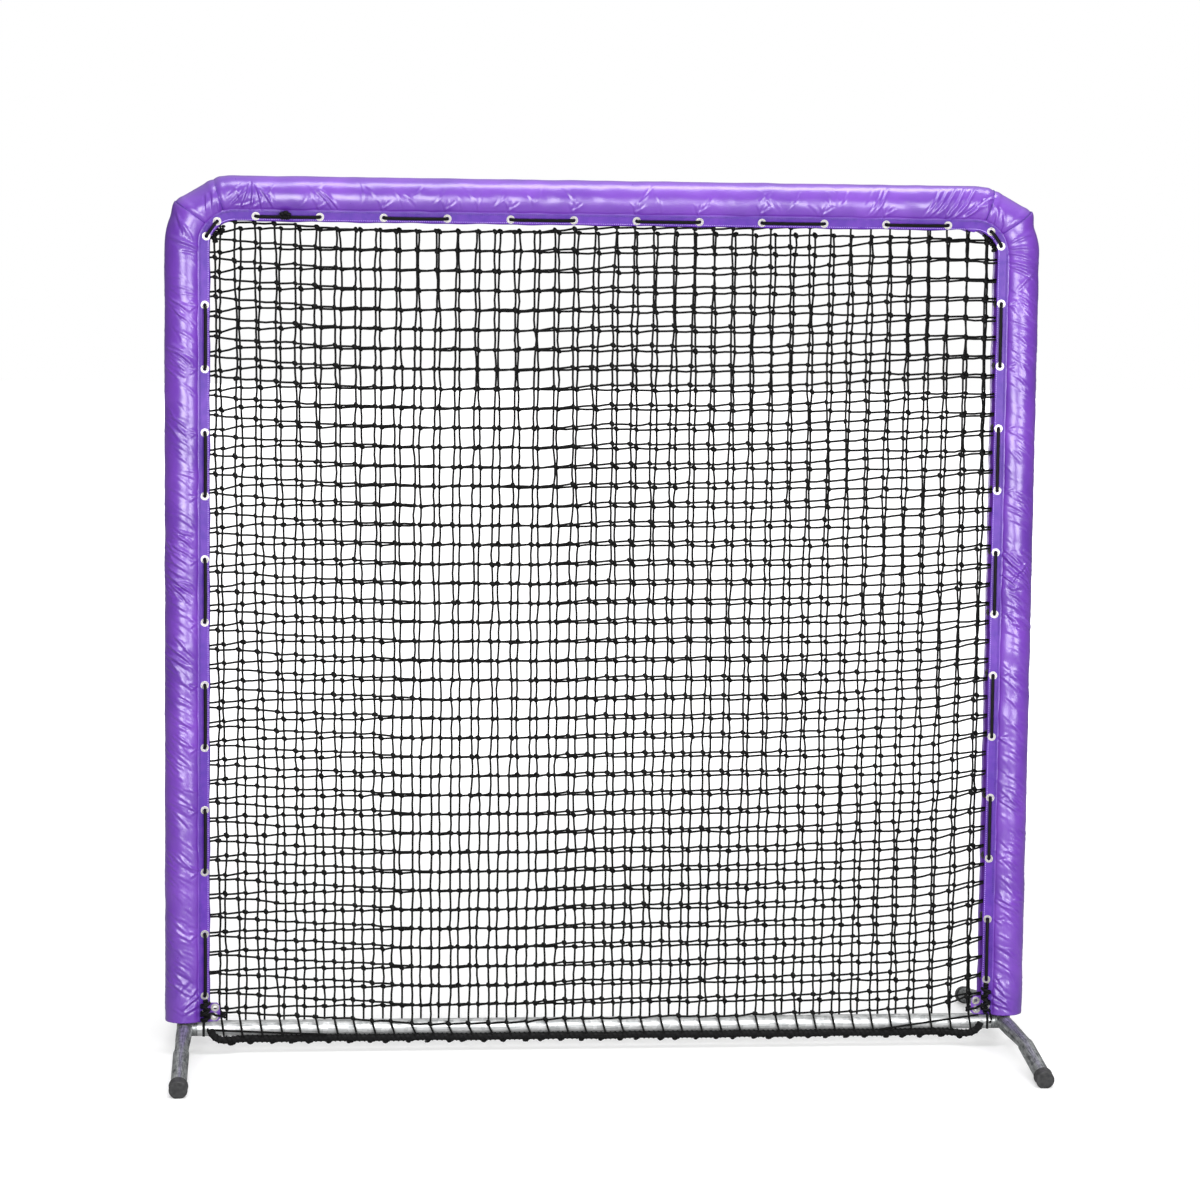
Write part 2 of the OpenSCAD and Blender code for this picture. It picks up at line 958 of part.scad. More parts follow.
module hem_rope() {
    steps = 8;
    level_x = half_w - hem_level;
    left = [for (p = hem_end) [p[0] - half_w, p[1], hem_z + p[2]]];
    right = [for (i = [len(left) - 1 : -1 : 0]) [-left[i][0], left[i][1], left[i][2]]];
    middle = [for (i = [0 : steps]) [level_x * (2 * i / steps - 1), hem_y, hem_z]];
    color(black)
        cord(concat(left, middle, right), hem_r, [0, 1, 0], 10);
}

// Least gap between a winding's turns, measured between points that lie half a turn or more apart
function least_gap(path, apart, r) =
    min([for (i = [0 : len(path) - 1 - apart]) for (j = [i + apart : len(path) - 1])
        norm(path[i] - path[j])]) - 2 * r;
function wind_pitch(wire_r) = 2 * wire_r + turn_gap;

// Winding along +Z in one unbroken cord: it comes up a tail, bends into the first turn and runs
// straight off the last one
module winding(turns, wire_r, tail) {
    steps = 24;
    lead_r = 6;
    lead_steps = 5;
    wind_r = wind_core + wire_r;
    pitch = wind_pitch(wire_r);
    rise = atan(pitch / (2 * PI * wind_r));
    turned = [for (i = [0 : turns * steps])
        let (a = -90 + 360 * i / steps)
        [wind_r * cos(a), wind_r * sin(a), pitch * i / steps]];
    lead = [for (k = [0 : lead_steps - 1])
        let (b = (90 - rise) * k / lead_steps)
        [lead_r * (sin(rise) - cos(b)), -wind_r, lead_r * (sin(b) - cos(rise))]];
    run_out = turned[turns * steps] + 2 * wire_r * [cos(rise), 0, sin(rise)];
    path = concat([[lead[0][0], -wind_r, min(-tail, lead[0][2] - 2 * wire_r)]], lead, turned, [run_out]);
    echo(least_gap_mm = least_gap(path, steps / 2, wire_r));
    cord(path, wire_r, [0.02, 0, 1], 6);
}

// Knotted end of a side lacing, in front of the lip between its lowest grommet and the pad's end
module lashing(first) {
    room = first - lashing_top - lashing_foot;
    turns = floor(room / wind_pitch(lashing_r));
    foot = first - lashing_top - turns * wind_pitch(lashing_r);
    out = over_grommet + wind_core + lashing_d - lashing_press;
    translate(on_left(lip_point(pad_bottom + foot, -1, out, 0)))
        winding(turns, lashing_r, foot + tail_drop);
}

module left_lashing() {
    color(black)
        lashing(left_first);
}

module right_lashing() {
    color(black)
        mirror([1, 0, 0])
            lashing(right_first);
}

// Knot tied off in front of the top lacing's first stretch
module start_knot() {
    out = lace_out + lace_r + wind_core + 2 * knot_r + cord_gap;
    color(black)
        translate(on_top(lip_point(top_first + knot_place * grommet_pitch, -1, out, 0)))
            rotate([0, 90, 0])
                winding(knot_turns, knot_r, 0);
}

left_base();
right_base();
left_post();
right_post();
left_elbow();
right_elbow();
top_rail();
bottom_rail();
left_front_foot();
left_rear_foot();
right_front_foot();
right_rear_foot();
left_front_cap();
left_rear_cap();
right_front_cap();
right_rear_cap();
left_foam();
top_foam();
right_foam();
left_cover();
left_gusset();
top_cover();
right_gusset();
right_cover();
left_tab();
right_tab();
left_grommets();
top_grommets();
right_grommets();
tab_grommets();
front_net();
back_net();
hem_rope();
left_lace();
top_lace();
right_lace();
left_lashing();
right_lashing();
start_knot();
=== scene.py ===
import math

import bmesh
import bpy
import numpy as np
from mathutils import Matrix, Vector


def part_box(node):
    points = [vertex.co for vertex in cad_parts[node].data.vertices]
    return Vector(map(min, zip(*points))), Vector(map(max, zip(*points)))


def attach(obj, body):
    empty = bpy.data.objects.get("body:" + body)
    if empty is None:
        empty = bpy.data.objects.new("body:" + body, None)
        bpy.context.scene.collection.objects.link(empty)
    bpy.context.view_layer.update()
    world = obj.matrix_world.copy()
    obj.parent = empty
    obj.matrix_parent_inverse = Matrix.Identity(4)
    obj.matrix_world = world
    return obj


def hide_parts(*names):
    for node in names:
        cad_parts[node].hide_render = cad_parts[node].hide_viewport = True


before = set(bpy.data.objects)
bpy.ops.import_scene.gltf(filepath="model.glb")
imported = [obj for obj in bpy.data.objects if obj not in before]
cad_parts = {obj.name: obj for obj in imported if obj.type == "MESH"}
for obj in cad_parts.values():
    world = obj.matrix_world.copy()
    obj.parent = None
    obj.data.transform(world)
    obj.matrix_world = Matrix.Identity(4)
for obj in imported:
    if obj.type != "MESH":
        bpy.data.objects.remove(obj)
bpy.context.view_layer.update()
MM = 0.001


# ---------- sizes taken from the frame ----------

def node_size(node):
    lo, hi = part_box(node)
    return hi - lo


def node_middle(node):
    lo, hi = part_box(node)
    return (lo + hi) / 2


HALF_W = -node_middle("left_post").x
TUBE_R = node_size("left_post").x / 2
RAIL_TOP = node_middle("top_rail").z
RAIL_LOW = node_middle("bottom_rail").z
PAD_R = node_size("left_cover").y / 2
PAD_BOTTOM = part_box("left_cover")[0].z
BEND_R = 120 * MM
BEND_X = HALF_W - BEND_R
BEND_Z = RAIL_TOP - BEND_R

# Pad section: a round part and two lips that lean towards each other
LIP_ROOT = 34 * MM
LIP_REACH = 60 * MM
LIP_T = 2.4 * MM
LIP_TILT = math.radians(13)
LEAN_U, LEAN_V = math.sin(LIP_TILT), math.cos(LIP_TILT)
LIP_V = math.sqrt(PAD_R ** 2 - LIP_ROOT ** 2) - LIP_T / 2
ROOT_TURN = math.acos(LIP_ROOT / PAD_R)
ROUND_LEN = PAD_R * (2 * math.pi - 2 * ROOT_TURN)
FRONT_T = PAD_R * (math.pi / 2 - ROOT_TURN)
SLOT_HALF = 22.65 * MM
FOAM_BORE = TUBE_R + 0.3 * MM

# Lengths along the pads, from the foot of the left post up and over to the right one
POST_RUN = BEND_Z - PAD_BOTTOM
BEND_RUN = BEND_R * math.pi / 2
MID_RUN = POST_RUN + BEND_RUN + BEND_X
GUSSET_TURN = math.radians(36)
SIDE_SEAM = POST_RUN + BEND_R * GUSSET_TURN
TOP_SEAM = POST_RUN + BEND_R * 2 * GUSSET_TURN
FAR_SIDE_SEAM = 2 * MID_RUN - SIDE_SEAM
FAR_TOP_SEAM = 2 * MID_RUN - TOP_SEAM
# How far the covers' outer sides peak at the side seams
LEFT_PEAK = 10 * MM
RIGHT_PEAK = 14.5 * MM

# Lacing
GROMMET_U = 49 * MM
GROMMET_V = LIP_V - (GROMMET_U - LIP_ROOT) * math.tan(LIP_TILT)
GROMMET_PITCH = 152.4 * MM
LEFT_FIRST = 64.6 * MM
RIGHT_FIRST = 88.6 * MM
GROMMETS_A_RUN = 12
TOP_FIRST = -7.6 * MM - (GROMMETS_A_RUN - 1) / 2 * GROMMET_PITCH
GUSSET_GROMMET_TURN = math.radians(126)
SIDE_GROMMET_TURN = math.radians(162)
LACE_R = 4 * MM
LACE_OUT = 7.25 * MM
DIVE_DEPTH = 5.6 * MM
COIL_CORE = 0.5 * MM
COIL_GAP = 0.85 * MM
LASHING_R = 3.2 * MM
LASHING_PITCH = 2 * LASHING_R + COIL_GAP
LASHING_OUT = 3.45 * MM
LASHING_BELOW = 10 * MM
LASHING_TAIL = 33 * MM
KNOT_R = 2.4 * MM
STRAP_R = 3 * MM
CORD_SIDES = 10
# Each side: its first grommet, the turns of its lashing, and the flip from the left side to it
SIDES = {"left": (LEFT_FIRST, 7, np.array([1, 1, 1])),
         "right": (RIGHT_FIRST, 10, np.array([-1, 1, 1]))}

# Net
NET_Y = 20.85 * MM
TWINE_R = 2.7 * MM
MESHES = 40
ROW_PITCH = 47.5 * MM
FIRST_ROW = 104.5 * MM
ROPE_R = 9 * MM
ROPE_Z = 33.4 * MM


# ---------- small helpers ----------

def linear(hex_colour):
    """An sRGB colour such as "8C5FD6" as linear RGBA."""
    parts = [int(hex_colour[i:i + 2], 16) / 255 for i in (0, 2, 4)]
    return [c / 12.92 if c <= 0.04045 else ((c + 0.055) / 1.055) ** 2.4 for c in parts] + [1.0]


def add(tree, kind, inputs=None, stops=(), keeps=(), **settings):
    """Adds a node with its settings; each input is given a value or joined to a socket. stops are
    a colour ramp's positions and colours, keeps the values that a capturing node holds."""
    node = tree.nodes.new(kind)
    for key, value in settings.items():
        setattr(node, key, value)
    for i, (position, colour) in enumerate(stops):
        node.color_ramp.elements[i].position = position
        node.color_ramp.elements[i].color = linear(colour)
    for label in keeps:
        node.capture_items.new("FLOAT", label)
    for key, value in (inputs or {}).items():
        if isinstance(value, bpy.types.NodeSocket):
            tree.links.new(value, node.inputs[key])
        else:
            node.inputs[key].default_value = value
    return node


def smooth_step(x, start, end):
    f = np.clip((np.asarray(x, float) - start) / (end - start), 0, 1)
    return f * f * (3 - 2 * f)


def unit_rows(vectors):
    return vectors / np.linalg.norm(vectors, axis=1, keepdims=True)


def new_object(name, data):
    obj = bpy.data.objects.new(name, data)
    bpy.context.scene.collection.objects.link(obj)
    return obj


def mesh_object(name, points, faces, materials=(), face_slots=None, edges=()):
    mesh = bpy.data.meshes.new(name)
    mesh.from_pydata(np.asarray(points).tolist(), list(edges), faces)
    for material in materials:
        mesh.materials.append(material)
    if face_slots is not None:
        mesh.polygons.foreach_set("material_index", np.asarray(face_slots, np.int32))
    if len(mesh.polygons):
        mesh.polygons.foreach_set("use_smooth", [True] * len(mesh.polygons))
    mesh.update()
    return new_object(name, mesh)


def on_frame(obj, slot, *nodes):
    """Rides on the frame and stands for CAD nodes, which it hides; slot is not used."""
    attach(obj, "frame")
    if nodes:
        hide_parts(*nodes)
    return obj


# ---------- materials ----------

def new_material(name):
    material = bpy.data.materials.new(name)
    material.use_nodes = True
    material.node_tree.nodes.clear()
    return material, material.node_tree


def finished(material, shading):
    """Gives a material its principled shader, with the inputs in shading."""
    tree = material.node_tree
    shader = add(tree, "ShaderNodeBsdfPrincipled", shading)
    add(tree, "ShaderNodeOutputMaterial", {"Surface": shader.outputs["BSDF"]})
    return material


def coated_vinyl():
    """Purple PVC coated polyester, calendered: a soft satin skin with a fine leather grain, low
    creases from handling, and slightly paler and darker patches a hand wide. An attribute on the
    lips darkens their colour in blotches as painted shade, and makes them rougher and less glossy."""
    material, tree = new_material("coated_vinyl_calendered")
    place = add(tree, "ShaderNodeTexCoord").outputs["Object"]
    patches = add(tree, "ShaderNodeTexNoise", {"Vector": place, "Scale": 9.0, "Detail": 3.0})
    shade = add(tree, "ShaderNodeValToRGB", {"Fac": patches.outputs["Fac"]},
                stops=((0.3, "5A2A98"), (0.7, "703AAE")))
    # grain about 1.2 mm across, with handling creases about 18 mm apart under it
    grain = add(tree, "ShaderNodeTexVoronoi", {"Vector": place, "Scale": 800.0},
                feature="DISTANCE_TO_EDGE")
    handling = add(tree, "ShaderNodeTexNoise", {"Vector": place, "Scale": 55.0, "Detail": 4.0,
                                                "Roughness": 0.55}).outputs["Fac"]
    lip_shade_and_dulling = add(tree, "ShaderNodeAttribute", attribute_name="lip_shade_and_dulling").outputs["Fac"]
    # painted shade on the lips: their colour is mixed towards dark purple 3A1688 in blotches
    painted_lip_shade = add(tree, "ShaderNodeMath", {0: lip_shade_and_dulling, 1: handling}, operation="MULTIPLY")
    colour_with_lip_shade = add(tree, "ShaderNodeMix", {0: painted_lip_shade.outputs[0], 6: shade.outputs["Color"],
                                         7: linear("3A1688")}, data_type="RGBA")
    smooth = add(tree, "ShaderNodeMapRange", {"Value": handling, "To Min": 0.24, "To Max": 0.37})
    rubbed = add(tree, "ShaderNodeMath", {0: lip_shade_and_dulling, 1: 0.08, 2: smooth.outputs["Result"]},
                 operation="MULTIPLY_ADD")
    gloss = add(tree, "ShaderNodeMath", {0: lip_shade_and_dulling, 1: -0.6, 2: 0.9}, operation="MULTIPLY_ADD")
    creased = add(tree, "ShaderNodeBump",
                  {"Height": handling, "Strength": 0.22, "Distance": 2 * MM})
    grained = add(tree, "ShaderNodeBump",
                  {"Height": grain.outputs["Distance"], "Strength": 0.10, "Distance": 0.3 * MM,
                   "Normal": creased.outputs["Normal"]})
    return finished(material, {
        "Base Color": colour_with_lip_shade.outputs[2], "Roughness": rubbed.outputs[0], "IOR": 1.53,
        "Normal": grained.outputs["Normal"], "Specular IOR Level": gloss.outputs[0]})


def pad_foam():
    """Closed-cell polyethylene foam, cut: pale, dull, with cells about 1.5 mm across."""
    material, tree = new_material("polyethylene_foam_cut")
    place = add(tree, "ShaderNodeTexCoord").outputs["Object"]
    cells = add(tree, "ShaderNodeTexVoronoi", {"Vector": place, "Scale": 650.0}).outputs["Distance"]
    shade = add(tree, "ShaderNodeValToRGB", {"Fac": cells}, stops=((0, "B9B9B4"), (1, "DADAD4")))
    dents = add(tree, "ShaderNodeBump", {"Height": cells, "Strength": 0.5, "Distance": 0.5 * MM})
    return finished(material, {"Base Color": shade.outputs["Color"], "Roughness": 0.9,
                               "Normal": dents.outputs["Normal"]})


def galvanised_steel(name, along, dark="6F7273", pale="DDE0E0", bare=0.8):
    """Hot-dip galvanised tube, drawn: grey zinc with spangles about 12 mm across and draw lines
    that run along the tube, dull and streaked where it has weathered. along gives how finely
    the draw lines are set in each direction; 3 mm lines are coarser than the real ones. bare is
    the share of metal that shows through the zinc's chalky bloom."""
    material, tree = new_material(name)
    place = add(tree, "ShaderNodeTexCoord").outputs["Object"]
    spangle = add(tree, "ShaderNodeTexVoronoi", {"Vector": place, "Scale": 85.0})
    drawn = add(tree, "ShaderNodeMapping", {"Vector": place, "Scale": along})
    lines = add(tree, "ShaderNodeTexNoise",
                {"Vector": drawn.outputs["Vector"], "Scale": 1.0, "Detail": 4.0,
                 "Roughness": 0.65}).outputs["Fac"]
    crystals = add(tree, "ShaderNodeMapRange",
                   {"Value": spangle.outputs["Color"], "To Min": 0.75, "To Max": 1.15})
    streaks = add(tree, "ShaderNodeMath", {0: crystals.outputs["Result"], 1: lines},
                  operation="MULTIPLY").outputs[0]
    shade = add(tree, "ShaderNodeValToRGB", {"Fac": streaks}, stops=((0.30, dark), (0.62, pale)))
    dull = add(tree, "ShaderNodeMapRange", {"Value": streaks, "From Min": 0.3, "From Max": 0.65,
                                            "To Min": 0.55, "To Max": 0.34})
    skin = add(tree, "ShaderNodeBump", {"Height": lines, "Strength": 0.25, "Distance": 0.4 * MM})
    return finished(material, {"Base Color": shade.outputs["Color"], "Metallic": bare,
                               "Roughness": dull.outputs["Result"],
                               "Normal": skin.outputs["Normal"]})


def cap_rubber():
    """Moulded natural rubber, black: matt, with scuffs and a faint mould texture."""
    material, tree = new_material("rubber_moulded")
    place = add(tree, "ShaderNodeTexCoord").outputs["Object"]
    scuffs = add(tree, "ShaderNodeTexNoise",
                 {"Vector": place, "Scale": 120.0, "Detail": 6.0}).outputs["Fac"]
    shade = add(tree, "ShaderNodeValToRGB", {"Fac": scuffs},
                stops=((0.35, "232324"), (0.75, "3D3D3E")))
    skin = add(tree, "ShaderNodeBump", {"Height": scuffs, "Strength": 0.3, "Distance": 0.5 * MM})
    return finished(material, {"Base Color": shade.outputs["Color"], "Roughness": 0.62,
                               "Normal": skin.outputs["Normal"]})


def grommet_metal():
    """Nickel plated brass, stamped: bright grey-white with fine tumbling marks."""
    material, tree = new_material("nickel_plated_brass_stamped")
    place = add(tree, "ShaderNodeTexCoord").outputs["Object"]
    marks = add(tree, "ShaderNodeTexNoise",
                {"Vector": place, "Scale": 700.0, "Detail": 3.0}).outputs["Fac"]
    shade = add(tree, "ShaderNodeValToRGB", {"Fac": marks}, stops=((0, "A19F9B"), (1, "CDCBC7")))
    rubbed = add(tree, "ShaderNodeMapRange", {"Value": marks, "To Min": 0.32, "To Max": 0.46})
    return finished(material, {"Base Color": shade.outputs["Color"], "Metallic": 1.0,
                               "Roughness": rubbed.outputs["Result"]})


def corded(name, dark, pale, lay_length, strands, roughness):
    """Black twisted or braided cord: dull, with strands that cross and catch a little light. They
    follow the attribute lay, which holds metres along the cord and turns round it."""
    material, tree = new_material(name)
    lay = add(tree, "ShaderNodeAttribute", attribute_name="lay").outputs["Vector"]
    parts = add(tree, "ShaderNodeSeparateXYZ", {"Vector": lay})
    along = add(tree, "ShaderNodeMath", {0: parts.outputs["X"], 1: 2 * math.pi / lay_length},
                operation="MULTIPLY")
    ridges = []
    for way in (1, -1):
        turned = add(tree, "ShaderNodeMath", {0: parts.outputs["Y"], 1: way * 2 * math.pi * strands,
                                              2: along.outputs[0]}, operation="MULTIPLY_ADD")
        ridges.append(add(tree, "ShaderNodeMath", {0: turned.outputs[0]}, operation="SINE"))
    height = add(tree, "ShaderNodeMath", {0: ridges[0].outputs[0], 1: ridges[1].outputs[0]},
                 operation="MAXIMUM").outputs[0]
    shade = add(tree, "ShaderNodeMix", {0: height, 6: linear(dark), 7: linear(pale)},
                data_type="RGBA")
    strand = add(tree, "ShaderNodeBump", {"Height": height, "Strength": 0.6, "Distance": 0.5 * MM})
    return finished(material, {"Base Color": shade.outputs[2], "Roughness": roughness,
                               "Normal": strand.outputs["Normal"], "Specular IOR Level": 0.2})


def stitch_thread(name, dark, pale):
    """Bonded polyester thread, waxed: a tight, smooth line that changes shade a little."""
    material, tree = new_material(name)
    place = add(tree, "ShaderNodeTexCoord").outputs["Object"]
    plies = add(tree, "ShaderNodeTexNoise", {"Vector": place, "Scale": 900.0, "Detail": 1.0})
    shade = add(tree, "ShaderNodeValToRGB", {"Fac": plies.outputs["Fac"]},
                stops=((0, dark), (1, pale)))
    return finished(material, {"Base Color": shade.outputs["Color"], "Roughness": 0.5})


VINYL = coated_vinyl()
FOAM = pad_foam()
# The rails' copy is painted paler and less metallic, as painted light, and the feet's copy darker, as
# painted shade; the posts keep the plain zinc colours.
PAINTED_BRIGHT_RAIL_STEEL = galvanised_steel("galvanised_steel_drawn_rails_painted_light", (14, 330, 330),
                              "A2A5A6", "F3F4F4", 0.6)
POST_STEEL = galvanised_steel("galvanised_steel_drawn_posts", (330, 330, 14))
PAINTED_DARK_FOOT_STEEL = galvanised_steel("galvanised_steel_drawn_feet_painted_shade", (330, 14, 130), "55585A", "B9BCBC")
RUBBER = cap_rubber()
NICKEL = grommet_metal()
LACE = corded("braided_polyester_cord", "020203", "0C0C0E", 9 * MM, 4, 0.65)
TWINE = corded("knotted_nylon_twine_twisted", "030303", "0C0C0D", 7 * MM, 3, 0.7)
ROPE = corded("polypropylene_rope_braided", "060606", "18181A", 22 * MM, 4, 0.7)
# The root and seam thread is painted darker than the vinyl, as painted shade along the lips' roots and
# in the corner seams.
SHADED_ROOT_THREAD = stitch_thread("bonded_thread_root_seam_painted_shade", "3F1F7A", "5A34A0")
HEM_THREAD = stitch_thread("bonded_thread_hem", "A988E6", "C7AEF2")


# ---------- makers: cords along lines, and small bits placed on points ----------

def new_maker(name, result, **sockets):
    """An empty tree with named inputs and one geometry as its result."""
    tree = bpy.data.node_groups.new(name, "GeometryNodeTree")
    for label, kind in sockets.items():
        tree.interface.new_socket(label, in_out="INPUT", socket_type="NodeSocket" + kind)
    tree.interface.new_socket(result, in_out="OUTPUT", socket_type="NodeSocketGeometry")
    return tree, add(tree, "NodeGroupInput").outputs


def finish_maker(tree, geometry, given, result):
    """Ends a tree: the geometry is made smooth and real, and takes its finish."""
    smooth = add(tree, "GeometryNodeSetShadeSmooth", {"Geometry": geometry})
    real = add(tree, "GeometryNodeRealizeInstances", {"Geometry": smooth.outputs["Geometry"]})
    done = add(tree, "GeometryNodeSetMaterial",
               {"Geometry": real.outputs["Geometry"], "Material": given["Finish"]})
    add(tree, "NodeGroupOutput", {result: done.outputs["Geometry"]})
    return tree


def cord_maker():
    """Turns the edges of a mesh into round cords and writes the attribute lay on them."""
    tree, given = new_maker("cord_maker", "Cord", Line="Geometry", Radius="Float", Sides="Int",
                            Finish="Material")
    line = add(tree, "GeometryNodeMeshToCurve", {"Mesh": given["Line"]})
    length = add(tree, "GeometryNodeSplineParameter").outputs["Length"]
    measured = add(tree, "GeometryNodeCaptureAttribute",
                   {"Geometry": line.outputs["Curve"], "Along": length},
                   keeps=["Along"], domain="POINT").outputs
    circle = add(tree, "GeometryNodeCurvePrimitiveCircle",
                 {"Resolution": given["Sides"], "Radius": given["Radius"]})
    factor = add(tree, "GeometryNodeSplineParameter").outputs["Factor"]
    turned = add(tree, "GeometryNodeCaptureAttribute",
                 {"Geometry": circle.outputs["Curve"], "Turn": factor},
                 keeps=["Turn"], domain="POINT").outputs
    tube = add(tree, "GeometryNodeCurveToMesh",
               {"Curve": measured["Geometry"], "Profile Curve": turned["Geometry"],
                "Fill Caps": True})
    lay = add(tree, "ShaderNodeCombineXYZ", {"X": measured["Along"], "Y": turned["Turn"]})
    marked = add(tree, "GeometryNodeStoreNamedAttribute",
                 {"Geometry": tube.outputs["Mesh"], "Name": "lay", "Value": lay.outputs["Vector"]},
                 data_type="FLOAT_VECTOR", domain="POINT")
    return finish_maker(tree, marked.outputs["Geometry"], given, "Cord")


def bit_maker():
    """Puts one small rounded bit on every point, along the point's attribute run, with its back
    along out; Uneven pushes its skin about, so that no two are the same."""
    tree, given = new_maker("bit_maker", "Bits", Points="Geometry", Size="Vector", Segments="Int",
                            Rings="Int", Uneven="Float", Finish="Material")
    ball = add(tree, "GeometryNodeMeshUVSphere",
               {"Segments": given["Segments"], "Rings": given["Rings"], "Radius": 0.5})
    bit = add(tree, "GeometryNodeTransform",
              {"Geometry": ball.outputs["Mesh"], "Scale": given["Size"]})
    run, out, size = (add(tree, "GeometryNodeInputNamedAttribute", {"Name": label},
                          data_type=kind).outputs["Attribute"]
                      for label, kind in (("run", "FLOAT_VECTOR"), ("out", "FLOAT_VECTOR"),
                                          ("size", "FLOAT")))
    turn = add(tree, "FunctionNodeAxesToRotation", {"Primary Axis": run, "Secondary Axis": out},
               primary_axis="X", secondary_axis="Z")
    placed = add(tree, "GeometryNodeInstanceOnPoints",
                 {"Points": given["Points"], "Instance": bit.outputs["Geometry"],
                  "Rotation": turn.outputs["Rotation"], "Scale": size})
    real = add(tree, "GeometryNodeRealizeInstances", {"Geometry": placed.outputs["Instances"]})
    here = add(tree, "GeometryNodeInputPosition").outputs["Position"]
    lumps = add(tree, "ShaderNodeTexNoise", {"Vector": here, "Scale": 210.0}).outputs["Color"]
    centred = add(tree, "ShaderNodeVectorMath", {0: lumps, 1: (0.5, 0.5, 0.5)},
                  operation="SUBTRACT")
    pushed = add(tree, "ShaderNodeVectorMath",
                 {0: centred.outputs["Vector"], "Scale": given["Uneven"]}, operation="SCALE")
    moved = add(tree, "GeometryNodeSetPosition",
                {"Geometry": real.outputs["Geometry"], "Offset": pushed.outputs["Vector"]})
    return finish_maker(tree, moved.outputs["Geometry"], given, "Bits")


CORD_MAKER = cord_maker()
BIT_MAKER = bit_maker()


def made_by(tree, name, source, **inputs):
    """The plain mesh that a tree makes from a source object, under a name of its own."""
    maker = source.modifiers.new("maker", "NODES")
    maker.node_group = tree
    sockets = {s.name: s.identifier for s in tree.interface.items_tree if s.in_out == "INPUT"}
    for label, value in inputs.items():
        maker[sockets[label]] = value
    bpy.context.view_layer.update()
    shown = source.evaluated_get(bpy.context.evaluated_depsgraph_get())
    mesh = bpy.data.meshes.new_from_object(shown)
    mesh.name = name
    bpy.data.objects.remove(source)
    return new_object(name, mesh)


def cords(name, lines, radius, finish, slot, *nodes, sides=CORD_SIDES):
    """One piece of round cords along lists of points, on the frame."""
    points, edges, start = [], [], 0
    for line in lines:
        points.append(np.asarray(line, float))
        edges += [(start + i, start + i + 1) for i in range(len(line) - 1)]
        start += len(line)
    source = mesh_object(name + "_line", np.concatenate(points), [], edges=edges)
    made = made_by(CORD_MAKER, name, source, Radius=radius, Sides=sides, Finish=finish)
    return on_frame(made, slot, *nodes)


def bits(name, points, run, size, box, finish, slot, out=(0, 1, 0), segments=8, rings=6,
         uneven=0.0):
    """One piece of small bits on points; run and out are their directions, box their size."""
    source = mesh_object(name + "_points", points, [])
    for label, values in (("run", run), ("out", out)):
        data = source.data.attributes.new(label, "FLOAT_VECTOR", "POINT").data
        data.foreach_set("vector", np.broadcast_to(values, np.shape(points)).astype(float).ravel())
    data = source.data.attributes.new("size", "FLOAT", "POINT").data
    data.foreach_set("value", np.broadcast_to(size, len(points)).astype(float))
    made = made_by(BIT_MAKER, name, source, Size=box, Segments=segments, Rings=rings,
                   Uneven=uneven, Finish=finish)
    return on_frame(made, slot)


def rounded(line, steps=4):
    """A path through the given points without corners (Catmull-Rom, centripetal)."""
    p = np.asarray(line, float)
    p = np.vstack([2 * p[0] - p[1], p, 2 * p[-1] - p[-2]])
    out = []
    for a, b, c, d in zip(p[:-3], p[1:-2], p[2:-1], p[3:]):
        t1 = max(np.linalg.norm(b - a), 1e-6) ** 0.5
        t2 = t1 + max(np.linalg.norm(c - b), 1e-6) ** 0.5
        t3 = t2 + max(np.linalg.norm(d - c), 1e-6) ** 0.5
        for t in np.linspace(t1, t2, steps, endpoint=False):
            ab = ((t1 - t) * a + t * b) / t1
            bc = ((t2 - t) * b + (t - t1) * c) / (t2 - t1)
            cd = ((t3 - t) * c + (t - t2) * d) / (t3 - t2)
            abc = ((t2 - t) * ab + t * bc) / t2
            bcd = ((t3 - t) * bc + (t - t1) * cd) / (t3 - t1)
            out.append(((t2 - t) * abc + (t - t1) * bcd) / (t2 - t1))
    return np.array(out + [p[-2]])


# ---------- pads ----------

def pad_axis(s):
    """The pad's axis at lengths s from the foot of the left post, over the top, to the foot of
    the right post: points and inward directions, both in the X-Z plane."""
    s = np.asarray(s, float)
    side = np.where(s > MID_RUN, -1.0, 1.0)
    s = np.where(s > MID_RUN, 2 * MID_RUN - s, s)
    turn = np.clip((s - POST_RUN) / BEND_R, 0, math.pi / 2)
    x = -BEND_X - BEND_R * np.cos(turn) + np.maximum(s - POST_RUN - BEND_RUN, 0)
    z = BEND_Z + BEND_R * np.sin(turn) + np.minimum(s - POST_RUN, 0)
    return side * x, z, side * np.cos(turn), -np.sin(turn)


def swept(s, u, v):
    """Points at lengths s along the pads, u in from the axis and v back from it."""
    x, z, inward_x, inward_z = pad_axis(s)
    return np.stack([x + u * inward_x, np.broadcast_to(v, np.shape(x + u)), z + u * inward_z], -1)


def lip_v(u):
    """How far a lip's middle lies from the pad's middle plane."""
    return LIP_V - (u - LIP_ROOT) * math.tan(LIP_TILT)


